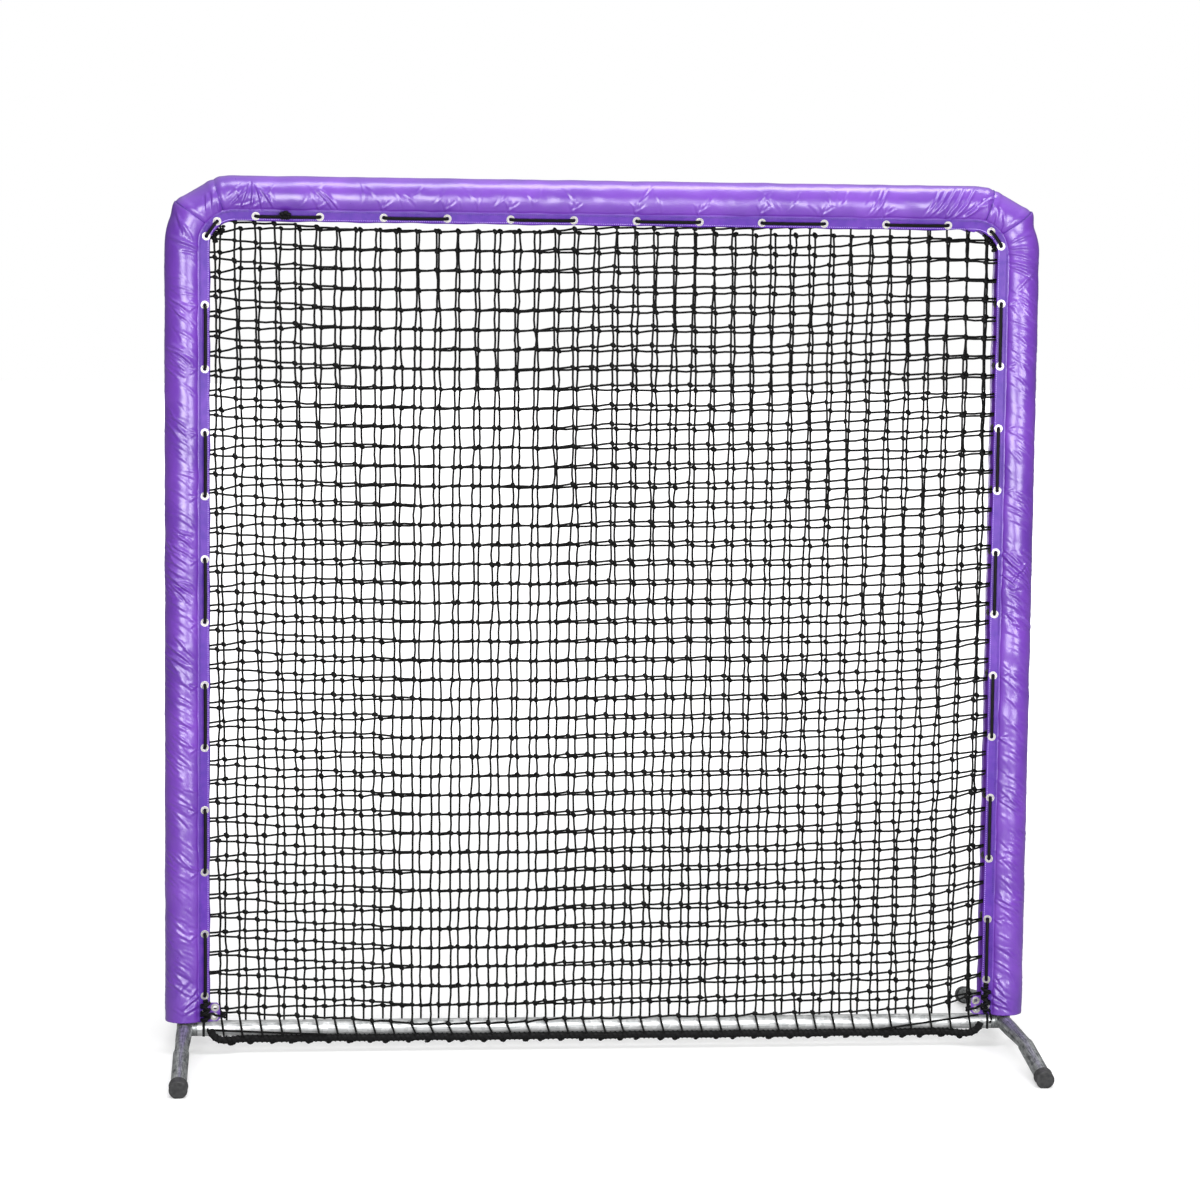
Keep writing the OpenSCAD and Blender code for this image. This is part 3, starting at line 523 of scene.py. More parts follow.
def pad_section(columns=6, slices=100):
    """The pad's outline as [distance inward u, distance back v], with the direction out of the
    skin, the length t round the cover from the front lip's root, and the part it belongs to."""
    def lip(j, face):
        u = LIP_REACH + (LIP_ROOT - LIP_REACH) * j / (columns + 0.5)
        t = (ROUND_LEN if face > 0 else 0) + face * (u - LIP_ROOT) / LEAN_V
        return (u + LEAN_U * LIP_T / 2, face * (lip_v(u) + LEAN_V * LIP_T / 2),
                LEAN_U, face * LEAN_V, t, "lip")

    rows = [lip(j, -1) for j in range(columns + 1)]
    for j in range(slices + 1):
        a = ROOT_TURN + (2 * math.pi - 2 * ROOT_TURN) * j / slices
        rows.append((PAD_R * math.cos(a), -PAD_R * math.sin(a), math.cos(a), -math.sin(a),
                     ROUND_LEN * j / slices, "round"))
    rows += [lip(j, 1) for j in range(columns, -1, -1)]

    behind_t, before_t = ROUND_LEN + 30 * MM, -30 * MM
    inner = [(LIP_REACH + 0.6 * MM, lip_v(LIP_REACH))]
    inner += [(u - LEAN_U * LIP_T / 2, lip_v(u) - LEAN_V * LIP_T / 2)
              for u in (60 * MM, 51 * MM, 43 * MM, 35 * MM)]
    wedge = [(31 * MM, 29.5 * MM), (SLOT_HALF, SLOT_HALF), (SLOT_HALF * 0.5, SLOT_HALF),
             (0.0, SLOT_HALF), (0.0, FOAM_BORE)]
    bore = [(FOAM_BORE * math.cos(a), FOAM_BORE * math.sin(a))
            for a in np.linspace(math.pi / 2, 3 * math.pi / 2, 11)[1:-1]]
    rows += [(u, v, 0, 0, behind_t, "inside") for u, v in inner]
    rows += [(u, v, 0, 0, behind_t, "foam")
             for u, v in wedge + bore + [(u, -v) for u, v in reversed(wedge)]]
    rows += [(u, -v, 0, 0, before_t, "inside") for u, v in reversed(inner)]
    *numbers, parts = zip(*rows)
    return [np.array(x, float) for x in numbers] + [np.array(parts)]


U, V, NU, NV, T, PARTS = pad_section()
IS_ROUND = (PARTS == "round").astype(float)
IS_LIP = (PARTS == "lip").astype(float)
IS_FOAM = PARTS == "foam"
# The grooves where the lips leave the round part
ROOT_GROOVES = 1.3 * MM * IS_ROUND * sum(np.exp(-((T - root) / (2.2 * MM)) ** 2)
                                         for root in (0, ROUND_LEN))


def creases(s, t, strokes):
    """Height of the vinyl at lengths s and t from a list of creases. A crease is [s, t, angle,
    half length, width, height]: a soft ridge with a sharper valley along its far side."""
    total = np.zeros(np.broadcast(s, t).shape)
    for s0, t0, angle, half, width, height in strokes:
        ca, sa = math.cos(angle), math.sin(angle)
        rows = np.nonzero(np.abs(s[:, 0] - s0) < half + 4 * width)[0]
        if not len(rows):
            continue
        near = slice(rows[0], rows[-1] + 1)
        ds, dt = s[near] - s0, t - t0
        along = (ds * sa + dt * ca) / half
        across = (ds * ca - dt * sa + 0.12 * half * along ** 2) / width
        taper = np.clip(1 - along ** 2, 0, 1) ** 0.8
        ridge = np.exp(-0.5 * across ** 2) - 0.8 * np.exp(-0.5 * ((across + 1.6) / 0.8) ** 2)
        total[near] += height * taper * ridge
    return total


def drawn_folds(start, across, *table):
    """Creases drawn one by one, from rows in millimetres: [past start, past across, angle, half
    length, width, height]."""
    return [(start + s * MM, across + t * MM, angle, half * MM, width * MM, up * MM)
            for s, t, angle, half, width, up in table]


def wrinkle_cluster(rng, s0, t0, spread_s, spread_t, count, angle, height):
    """Creases that lean the same way, scattered round one place."""
    return [(s0 + rng.normal() * spread_s, t0 + rng.normal() * spread_t,
             angle + rng.normal() * 0.13, rng.uniform(16, 40) * MM,
             rng.uniform(2.0, 3.4) * MM, height * rng.uniform(0.4, 1.1)) for _ in range(count)]


def side_creases(seed, first, clusters, lean):
    """Creases of a side pad: clusters at chosen heights on the front, small ones all the way up
    the front, the outer side and the back, and short pulls at every grommet."""
    rng = np.random.default_rng(seed)
    made = []
    for z, count, strength in clusters:
        for beside, share in ((2 * MM, 1.0), (34 * MM, 0.8)):
            made += wrinkle_cluster(rng, z - PAD_BOTTOM, FRONT_T + beside, 26 * MM, 9 * MM, count,
                                    lean, strength * share * 2.1 * MM)
    for face_t, way in ((FRONT_T, 1), (ROUND_LEN / 2, 0.4), (ROUND_LEN - FRONT_T, -1)):
        for s in np.arange(20 * MM, POST_RUN, 36 * MM):
            made += wrinkle_cluster(rng, s, face_t, 14 * MM, 16 * MM, 2,
                                    lean * way + rng.normal() * 0.15, 0.9 * MM)
    for s in first + np.arange(GROMMETS_A_RUN) * GROMMET_PITCH:
        for face_t, way in ((0.0, 1), (ROUND_LEN, -1)):
            made += [(s + turn * 12 * MM, face_t + way * 14 * MM, way * turn, 14 * MM, 2.6 * MM,
                      1.3 * MM) for turn in (-0.5, 0.35)]
    return made


def soft_waves(s, t, seed, lean):
    """The stuffed skin is never even: crossing swells from a hand's breadth down to a finger's,
    each as high as its length allows, mostly leaning the way the creases do."""
    rng = np.random.default_rng(seed)
    total = np.zeros(np.broadcast(s, t).shape)
    for length in np.geomspace(38, 240, 12) * MM:
        way = lean + rng.normal() * 0.5 if length < 90 * MM else rng.uniform(-0.4, 0.4)
        across = s * math.cos(way) - t * math.sin(way)
        cycles = (s * math.sin(way) + t) / (3.1 * length)
        bend = 0.8 * np.sin(2 * math.pi * cycles + rng.uniform(0, 6))
        total += min(0.0035 * length, 0.36 * MM) * np.sin(2 * math.pi * across / length + bend
                                                          + rng.uniform(0, 6.28))
    return total


def lip_waves(s):
    """How far the free edge of a lip sways in and out, most near the far corner's seam."""
    sway = 0.7 * MM * np.sin(s / (31 * MM)) + 0.5 * MM * np.sin(s / (13 * MM) + 1)
    far = (s - FAR_TOP_SEAM) / MM
    return sway + 5 * MM * (np.exp(-((far + 38) / 13) ** 2) - 0.6 * np.exp(-((far + 68) / 14) ** 2))


def pad_skin(s, height):
    """Points of a pad at rows s, with the cover's skin raised by height."""
    gain = IS_ROUND + 0.25 * IS_LIP
    free = np.clip((U - LIP_ROOT - 12 * MM) / (14 * MM), 0, 1) ** 1.5
    return swept(s, U + height * gain * NU + lip_waves(s) * free, V + height * gain * NV)


def rolled_rim(s, height, way):
    """Two rings that roll the vinyl's cut end in; way points into the pad along its length."""
    return [pad_skin(np.array([[s + way * deep]]), height[None, :] - sunk)[0]
            for deep, sunk in ((0.0, 1.4 * MM), (4 * MM, 2.24 * MM))]


def face_out(obj):
    """Turns a closed mesh's faces outwards if they point inwards."""
    work = bmesh.new()
    work.from_mesh(obj.data)
    if work.calc_volume(signed=True) < 0:
        bmesh.ops.reverse_faces(work, faces=work.faces)
    work.to_mesh(obj.data)
    work.free()


def mirrored(obj):
    """Turns a piece made for the left side into one for the right side."""
    points = np.empty(len(obj.data.vertices) * 3)
    obj.data.vertices.foreach_get("co", points)
    points[0::3] *= -1
    obj.data.vertices.foreach_set("co", points)
    obj.data.flip_normals()
    obj.data.update()


def make_pad(name, s, height, *nodes, mirror=False):
    """A closed pad: rows of the section, with rolled vinyl rims and foam at its ends."""
    grid = np.array([*rolled_rim(s[0], height[0], 1)[::-1], *pad_skin(s[:, None], height),
                     *rolled_rim(s[-1], height[-1], -1)])
    rings, columns = grid.shape[:2]
    here = np.arange(columns)
    ahead = np.roll(here, -1)
    ring = np.stack([here, ahead, columns + ahead, columns + here], -1)
    faces = (ring + columns * np.arange(rings - 1)[:, None, None]).reshape(-1, 4).tolist()
    faces += [tuple(here[::-1].tolist()), tuple(((rings - 1) * columns + here).tolist())]
    slots = np.append(np.tile(IS_FOAM & np.roll(IS_FOAM, -1), rings - 1), [True, True])
    pad = mesh_object(name, grid.reshape(-1, 3), faces, [VINYL, FOAM], slots)
    # the lips' attribute, read by the vinyl, gives them painted shade and a duller skin
    lip_shade_and_dulling = pad.data.attributes.new("lip_shade_and_dulling", "FLOAT", "POINT").data
    lip_shade_and_dulling.foreach_set("value", np.tile(IS_LIP, rings))
    face_out(pad)
    if mirror:
        mirrored(pad)
    on_frame(pad, "purple_vinyl", *nodes)


def outer_weight(power):
    """How far a point of the section lies on the outer side of a bend, from 0 to 1."""
    return (np.clip(-NU, 0, 1) ** power) * IS_ROUND


def rows_between(start, end, step=2.2 * MM):
    return np.linspace(start, end, int(round((end - start) / step)) + 1)


# Folds of the side pads: at the bend, and up the post
LEFT_FOLDS = drawn_folds(
    POST_RUN, FRONT_T,
    (6, -2, 0.30, 46, 3.6, 3.6), (50, 26, 0.78, 22, 2.6, 2.2), (42, 14, 0.84, 26, 2.6, 2.6),
    (36, 2, 0.92, 26, 2.8, 2.6), (28, -10, 0.96, 22, 2.8, 2.2), (-12, -12, 0.20, 24, 3.0, 1.8),
) + drawn_folds(
    0, FRONT_T,
    (52, -16, -0.62, 30, 3.4, 4.4), (34, -18, -0.42, 24, 3.2, 3.2), (70, -20, -0.85, 22, 3.0, 2.6),
    (86, 6, -0.90, 30, 4.0, 1.8), (1196, 2, 0.20, 26, 3.4, 3.6), (1180, 4, 0.32, 28, 3.0, 3.2),
    (1160, 16, 0.45, 30, 3.0, 2.6), (1140, 18, 0.50, 32, 3.0, 2.6), (1120, 18, 0.50, 32, 3.0, 2.4),
    (1100, 18, 0.55, 30, 3.0, 2.2), (930, 6, 0.80, 28, 3.0, 3.0), (906, 10, 0.65, 30, 3.0, 2.6),
    (884, 12, 0.60, 28, 3.0, 2.4))
RIGHT_FOLDS = drawn_folds(
    POST_RUN, FRONT_T,
    (-22, -2, -0.30, 42, 3.2, 3.2), (-36, -4, -0.42, 38, 3.0, 2.8), (2, -8, -0.20, 36, 3.0, 2.8),
    (20, -4, -0.10, 34, 3.0, 2.4), (44, 2, 0.05, 30, 3.0, 2.2), (-62, 6, 0.75, 34, 3.4, 2.2),
) + drawn_folds(
    0, FRONT_T,
    (40, -12, -0.62, 34, 3.8, 4.6), (24, -10, -0.35, 32, 3.4, 3.6), (62, -14, -0.85, 26, 3.2, 3.2),
    (84, -16, -1.0, 24, 3.0, 2.4), (100, 10, -0.9, 22, 3.0, 1.8), (1110, 8, 0.85, 36, 3.0, 3.6),
    (1124, -8, -0.65, 28, 3.0, 2.8), (1108, -10, -0.60, 26, 2.8, 2.4), (1070, 2, 0.20, 20, 4.0, 2.6),
    (1262, 4, -0.55, 40, 3.0, 2.0), (1248, 10, -0.50, 36, 3.0, 2.0))
# Places up the post with creases: [height, how many, how strong]
LEFT_CLUSTERS = [(1.80, 5, 1.2), (1.68, 6, 1.5), (1.52, 4, 1.0), (1.25, 6, 1.2), (1.14, 9, 1.7),
                 (0.98, 6, 1.2), (0.86, 4, 1.0), (0.74, 5, 1.0), (0.60, 4, 0.9), (0.45, 4, 0.9),
                 (0.32, 4, 0.8), (0.20, 4, 1.0)]
RIGHT_CLUSTERS = [(1.84, 4, 1.0), (1.70, 4, 1.0), (1.52, 3, 0.8), (1.36, 4, 1.0), (1.19, 9, 1.8),
                  (1.08, 6, 1.5), (0.92, 4, 1.0), (0.78, 4, 1.0), (0.62, 6, 1.3), (0.50, 5, 1.2),
                  (0.38, 5, 1.2), (0.26, 4, 1.0)]


def make_side_pads():
    """The two side pads, each made on the left: creases, slow swelling, and the peak at its
    corner seam, where a last row tucks the vinyl in."""
    s = np.concatenate([rows_between(0.0, SIDE_SEAM), [SIDE_SEAM + 0.5 * MM]])
    grid_s = s[:, None]
    for name, peak, seed, first, clusters, lean, folds in (
            ("left", LEFT_PEAK, 11, LEFT_FIRST, LEFT_CLUSTERS, 34, LEFT_FOLDS),
            ("right", RIGHT_PEAK + 0.5 * MM, 23, RIGHT_FIRST, RIGHT_CLUSTERS, -36, RIGHT_FOLDS)):
        lean = math.radians(lean)
        height = creases(grid_s, T, side_creases(seed, first, clusters, lean) + folds)
        height += soft_waves(grid_s, T, seed + 1, lean)
        height *= 1 - 0.5 * outer_weight(2.0)
        near_seam = smooth_step(grid_s, SIDE_SEAM - 30 * MM, SIDE_SEAM)
        height += peak * near_seam ** 1.3 * outer_weight(2.0) - ROOT_GROOVES
        height[-1] -= 0.9 * MM * IS_ROUND
        make_pad(name + "_side_pad", s, height, name + "_cover", name + "_foam",
                 mirror=(name == "right"))


TOP_CREASES = 56
TOP_LAP = 6 * MM
# Where the top run's first grommets lie along the pads
TOP_START = MID_RUN + TOP_FIRST


def top_creases():
    """Creases of the top pad: loose ones on both faces, pulls at every grommet, the fan of folds
    by the first ones, and long folds beside the corner seams."""
    rng = np.random.default_rng(37)
    strokes = []
    for s0 in rng.uniform(TOP_SEAM, FAR_TOP_SEAM, TOP_CREASES):
        t0 = rng.choice([FRONT_T - 8 * MM, FRONT_T + 10 * MM, ROUND_LEN - FRONT_T])
        strokes.append((s0, t0 + rng.normal() * 8 * MM,
                        rng.choice([-1, 1]) * rng.uniform(0.2, 0.8), rng.uniform(16, 36) * MM,
                        rng.uniform(2, 3.2) * MM, rng.uniform(0.5, 1.4) * MM))
    for s0 in TOP_START + np.arange(GROMMETS_A_RUN) * GROMMET_PITCH:
        for face_t, way in ((0.0, 1), (ROUND_LEN, -1)):
            strokes += [(s0 + turn * 12 * MM, face_t + way * 16 * MM, way * (0.3 + turn), 18 * MM,
                         2.8 * MM, 1.4 * MM) for turn in (-0.6, 0.1, 0.7)]
    strokes += drawn_folds(
        TOP_START, 32 * MM,
        (-40, 0, 0.75, 34, 2.4, 3.4), (-24, 0, 0.35, 38, 2.4, 3.4), (-8, 0, 0.1, 46, 2.4, 3.4),
        (10, 0, -0.25, 42, 2.4, 3.4), (28, 0, -0.6, 34, 2.4, 3.4), (176, 0, -0.75, 40, 2.4, 3.4),
        (164, 0, -0.7, 34, 2.4, 3.4))
    strokes += drawn_folds(
        TOP_SEAM, 0,
        (-34, 36, 0.6, 26, 2.6, 2.4), (-20, 30, 0.5, 28, 2.6, 2.6), (-8, 22, 0.4, 24, 2.6, 2.0),
        (60, 14, 1.35, 26, 2.6, 2.0))
    return strokes + drawn_folds(
        FAR_TOP_SEAM, 0,
        (-30, 34, 0.85, 54, 3, 4.6), (-62, 40, 0.62, 56, 3, 4.6), (-84, 42, 0.55, 52, 3, 4.0),
        (-106, 44, 0.60, 50, 3, 3.8), (-126, 40, 0.60, 44, 3, 3.4), (-46, 22, 0.75, 34, 3, 2.8),
        (-14, 40, 0.9, 26, 3, 2.4), (-140, 40, 0.52, 44, 3, 3.0), (-270, 40, 0.50, 46, 3, 3.0),
        (-282, 36, 0.50, 40, 3, 2.6), (22, 26, -0.5, 30, 3, 2.8), (38, 34, -0.62, 26, 3, 2.4),
        (54, 20, -0.7, 24, 3, 2.4))


def gusset_height(s, seam, other, peak):
    """A gusset between its two seams: a flat chord across the bend's outer side, and the seams'
    grooves with a swell beside each."""
    f = np.clip((s - seam) / (other - seam), 0, 1)
    outer = BEND_R + PAD_R
    start, end, a = outer + peak, outer, GUSSET_TURN * f
    chord = start * end * math.sin(GUSSET_TURN) / (start * np.sin(a) + end * np.sin(GUSSET_TURN - a)
                                                   + 1e-9 * (f == 0))
    inside = (s - seam) * (s - other) < 0
    height = inside * (chord - outer) * outer_weight(1.2)
    for line in (seam, other):
        gap = np.abs(s - line) / (3.2 * MM)
        height += (1.2 * MM * np.exp(-((gap - 3.2) / 1.6) ** 2) - 2.6 * MM * np.exp(-gap)) * IS_ROUND
    return height


def make_top_pad():
    """The top pad with both corner gussets. Its ends lap under the side pads."""
    s = rows_between(SIDE_SEAM - TOP_LAP, FAR_SIDE_SEAM + TOP_LAP)
    grid_s = s[:, None]
    height = creases(grid_s, T, top_creases()) + soft_waves(grid_s, T, 41, -0.6)
    height *= 1 - 0.6 * outer_weight(2.0)
    height += gusset_height(grid_s, SIDE_SEAM, TOP_SEAM, LEFT_PEAK)
    height += gusset_height(grid_s, FAR_SIDE_SEAM, FAR_TOP_SEAM, RIGHT_PEAK)
    clear = np.minimum(smooth_step(grid_s, SIDE_SEAM - 8 * MM, SIDE_SEAM + 2 * MM),
                       smooth_step(-grid_s, -FAR_SIDE_SEAM - 8 * MM, -FAR_SIDE_SEAM + 2 * MM))
    height -= 1.4 * MM * (1 - clear) + ROOT_GROOVES
    make_pad("top_pad", s, height, "left_gusset", "top_cover", "right_gusset", "top_foam")


def make_seam_lines():
    """The thread that sinks into the four seams round the corners, from lip root to lip root."""
    a = ROOT_TURN + np.linspace(2 * MM, ROUND_LEN - 2 * MM, 60) / PAD_R
    outer = np.clip(-np.cos(a), 0, 1)
    beside = SIDE_SEAM + 0.8 * MM
    for name, seam, peak, hook in (("left_side_seam", beside, LEFT_PEAK, 0),
                                   ("left_top_seam", TOP_SEAM, 0, 9 * MM),
                                   ("right_side_seam", beside, RIGHT_PEAK, 0),
                                   ("right_top_seam", TOP_SEAM, 0, 0)):
        skin = PAD_R - 1.3 * MM + peak * outer ** 1.2
        line = swept(seam + hook * smooth_step(outer, 0.55, 0.95) * outer,
                     skin * np.cos(a), -skin * np.sin(a))
        flip = SIDES[name.split("_")[0]][2]
        # the dark thread here is painted shade in the seam
        cords(name, [line * flip], 1.0 * MM, SHADED_ROOT_THREAD, "purple_vinyl", sides=6)


def lip_line(s, from_root, face, lift=0.1 * MM):
    """Points on a lip's outer face at a distance from its root, with their directions."""
    _, _, inward_x, inward_z = pad_axis(s)
    u = LIP_ROOT + from_root * LEAN_V
    out_v = face * LEAN_V
    rise = LIP_T / 2 + lift
    points = swept(s, u + LEAN_U * rise, face * lip_v(u) + out_v * rise)
    out = np.stack([LEAN_U * inward_x, np.full_like(s, out_v), LEAN_U * inward_z], -1)
    return points, unit_rows(np.gradient(points, axis=0)), out


def make_stitches():
    """Lockstitch on each lip: a double line along its root and a single one along its hem. The
    stitches are drawn a few times thicker than real thread, which would be too fine to see."""
    pitch, gap = 5.2 * MM, 4 * MM
    for name, start, end in (("left", gap, SIDE_SEAM - gap),
                             ("top", SIDE_SEAM + gap, FAR_SIDE_SEAM - gap),
                             ("right", gap, SIDE_SEAM - gap)):
        for line, from_root, finish in (("root", 2.8 * MM, SHADED_ROOT_THREAD),
                                        ("second", 5.2 * MM, SHADED_ROOT_THREAD),
                                        ("hem", 23.6 * MM, HEM_THREAD)):
            s = np.arange(start, end, pitch)
            faces = [lip_line(s, from_root, face) for face in (-1, 1)]
            flip = SIDES["right" if name == "right" else "left"][2]
            points, run, out = (np.concatenate(both) * flip for both in zip(*faces))
            bits(f"{name}_{line}_stitches", points, run, 1.0, (4.2 * MM, 1.7 * MM, 1.0 * MM),
                 finish, "purple_vinyl", out, segments=6, rings=4)


# ---------- net ----------

# Columns of knots at the foot and at the top: [the first one's x, the distance between them]
FRONT_COLUMNS = ((-0.9350, 0.04739), (-0.9424, 0.04793))
BACK_COLUMNS = ((-0.9137, 0.04742), (-0.9326, 0.04806))
# How far the front face hangs below the back one: [x, millimetres] at three heights
DROP = (((-0.95, -4), (-0.87, 4), (-0.78, 13), (-0.63, 22), (-0.44, 38), (-0.20, 38),
         (-0.10, 30), (0.24, 28), (0.59, 22), (0.78, 15), (0.87, 3), (0.956, -6)),
        ((-0.95, 6), (-0.87, 16), (-0.79, 27), (-0.53, 35), (-0.45, 42), (-0.155, 43),
         (-0.03, 37), (0.065, 34), (0.39, 33), (0.56, 26), (0.81, 16), (0.956, 2)),
        ((-0.94, 12), (-0.886, 31), (-0.74, 39), (-0.62, 46), (-0.55, 48), (-0.20, 48),
         (-0.08, 41), (0.0, 35), (0.27, 34), (0.50, 28), (0.69, 14), (0.875, 4), (0.937, 8)))
# How far the back face's rows rise above level, in the same way
RISE = (((-0.95, -4), (-0.87, -1), (-0.3, 2), (0.24, 4), (0.86, 6), (0.90, 10), (0.956, 22)),
        ((-0.95, -10), (-0.87, -1), (-0.80, 0), (0.80, 0), (0.956, 7)),
        ((-0.95, -13), (-0.886, -1), (-0.80, 0), (0.60, 0), (0.80, -3), (0.956, -7)))
# The net ends inside the pads; TOP_ROW is the row that counts as its top for its shape
NET_EDGE = 0.956
NET_TOP = RAIL_TOP - 34 * MM
KNOTS_REACH = 0.974
MIDDLE_COLUMN = (MESHES - 1) / 2
TOP_ROW = 39
FRONT_ROWS, BACK_ROWS = 43, 42
# The hem rope's left end, in millimetres: [in from the post's middle, y, rise]
ROPE_ENDS = np.array([(62, -35, 27), (66, -35, 19), (73, -35, 10), (84, -34, 3),
                      (98, -31.5, 0), (114, -24, -1), (140, -15.9, 0)]).T * MM


def hang(x, up, profiles):
    """Blends three profiles over the height up, from 0 at the foot to 1 at the top."""
    low, middle, high = (np.interp(x, *np.array(p, float).T) * MM for p in profiles)
    return np.where(up < 0.5, low + (middle - low) * np.clip(up * 2, 0, 1),
                    middle + (high - middle) * np.clip(up * 2 - 1, 0, 1.2))


def net_nodes(front):
    """Places of a face's knots, as arrays over column and row; the outermost columns and the top
    rows are behind the lips."""
    rng = np.random.default_rng(5 if front else 6)
    side = -1 if front else 1
    columns = np.arange(-1, MESHES + 1)[:, None]
    rows = np.arange(FRONT_ROWS if front else BACK_ROWS)[None, :]
    up = rows / TOP_ROW + 0 * columns
    low, high = (start + pitch * columns
                 for start, pitch in (FRONT_COLUMNS if front else BACK_COLUMNS))
    if front:
        low = low + 5 * MM * (2 * (columns / MIDDLE_COLUMN - 1) ** 2 - 1)
    x = low + (high - low) * up
    wander = sum(a * np.sin(2 * math.pi * (up * f + p) + columns * g) for a, f, p, g in
                 ((1.6 * MM, 2.3, 0.1, 0.5), (1.2 * MM, 4.1, 0.7, -0.9), (0.9 * MM, 7.3, 0.3, 1.7)))
    x = x - wander * side + rng.normal(size=up.shape) * 1.0 * MM
    z = FIRST_ROW + ROW_PITCH * rows + hang(x, up, RISE)
    if front:
        z = z - hang(x, up, DROP)
    z = z + rng.normal(size=up.shape) * 0.9 * MM
    bulge = 2 * MM * np.sin(np.clip((x + NET_EDGE) / (2 * NET_EDGE), 0, 1) * math.pi)
    y = side * (NET_Y + bulge * np.sin(np.clip(up, 0, 1) * math.pi))
    return np.stack([x, y, z], -1)


def rope_middle(x):
    """The hem rope's middle at x: level under the rail, rising and coming forward at its ends."""
    inward, y, rise = ROPE_ENDS
    d = HALF_W - np.abs(x)
    return np.interp(d, inward, y), ROPE_Z + np.interp(d, inward, rise)


def row_lines(nodes, rng):
    """Rows of twine, which leave each knot low and reach the next one high."""
    lines = []
    for row in nodes.transpose(1, 0, 2):
        line = []
        for a, b in zip(row[:-1], row[1:]):
            sag = [0, 0, rng.normal() * 0.7 * MM - 0.5 * MM]
            line += [a, a + [3.2 * MM, 0, -1.5 * MM], (a + b) / 2 + sag, b + [-3.2 * MM, 0, 0.9 * MM]]
        line = np.array(line + [row[-1]])
        shown = line[:, 2] < NET_TOP
        for run in np.split(np.arange(len(line)), np.flatnonzero(np.diff(shown)) + 1):
            if shown[run[0]] and len(run) > 1:
                lines.append(line[run])
    return lines


def column_foot(x, z, front):
    """The foot of a column, from the hem rope up to its first knot at x and z."""
    rope_y, rope_z = rope_middle(x + (9 * MM if front else 0))
    if not front:
        return [(x, rope_y + 6 * MM, rope_z + 1 * MM), (x, 14 * MM, ROPE_Z + 4 * MM),
                (x, NET_Y + 1 * MM, RAIL_LOW - 6 * MM), (x, NET_Y + 1.5 * MM, RAIL_LOW + 10 * MM)]
    y = min(rope_y, -NET_Y)
    foot = [(x + 9.5 * MM, y - 2.5 * MM, rope_z + 6 * MM), (x + 9 * MM, y - 3 * MM, rope_z + 11 * MM),
            (x + 5 * MM, -NET_Y - 2.5 * MM, (z + rope_z) / 2 + 2 * MM),
            (x + 1 * MM, -NET_Y - 1 * MM, z - 6 * MM)]
    return [foot[0], foot[2]] if z - rope_z < 24 * MM else foot


def column_lines(nodes, front, rng):
    """Columns of twine with a little wander, from the hem rope to the top."""
    lines = []
    for column in nodes:
        column = column[column[:, 2] < NET_TOP]
        line = column_foot(column[0][0], column[0][2], front)
        for a, b in zip(column[:-1], column[1:]):
            line += [a, (a + b) / 2 + [rng.normal() * 0.8 * MM, 0, 0]]
        lines.append(np.array(line + [column[-1]], float))
    return lines


def net_lines(nodes, front):
    """Twines of one face. The front face has two loose ones more over the rail's ends."""
    rng = np.random.default_rng(15 if front else 16)
    lines = row_lines(nodes, rng) + column_lines(nodes, front, rng)
    if front:
        for start, end, z0, z1 in ((-0.945, -0.67, 57 * MM, 44 * MM), (0.70, 0.95, 43 * MM, 78 * MM)):
            xs = np.linspace(start, end, 14)
            lines.append(np.stack([xs, np.full_like(xs, -NET_Y - 4 * MM),
                                   z0 + (z1 - z0) * (xs - start) / (end - start)], -1))
    return lines


def make_net():
    for face, front in (("front", True), ("back", False)):
        nodes = net_nodes(front)
        cords(face + "_net_twine", net_lines(nodes, front), TWINE_R, TWINE, "net_twine",
              face + "_net", sides=5)
        rng = np.random.default_rng(25 if front else 26)
        flat = nodes.reshape(-1, 3)
        flat = flat[(np.abs(flat[:, 0]) < KNOTS_REACH) & (flat[:, 2] < NET_TOP - 10 * MM)]
        lean = rng.normal(size=len(flat)) * 0.35 - 0.75
        run = np.stack([np.cos(lean), np.zeros(len(flat)), np.sin(lean)], -1)
        bits(face + "_net_knots", flat, run, rng.uniform(0.85, 1.15, len(flat)),
             (15.5 * MM, 11 * MM, 11 * MM), TWINE, "net_twine", uneven=3.4 * MM)


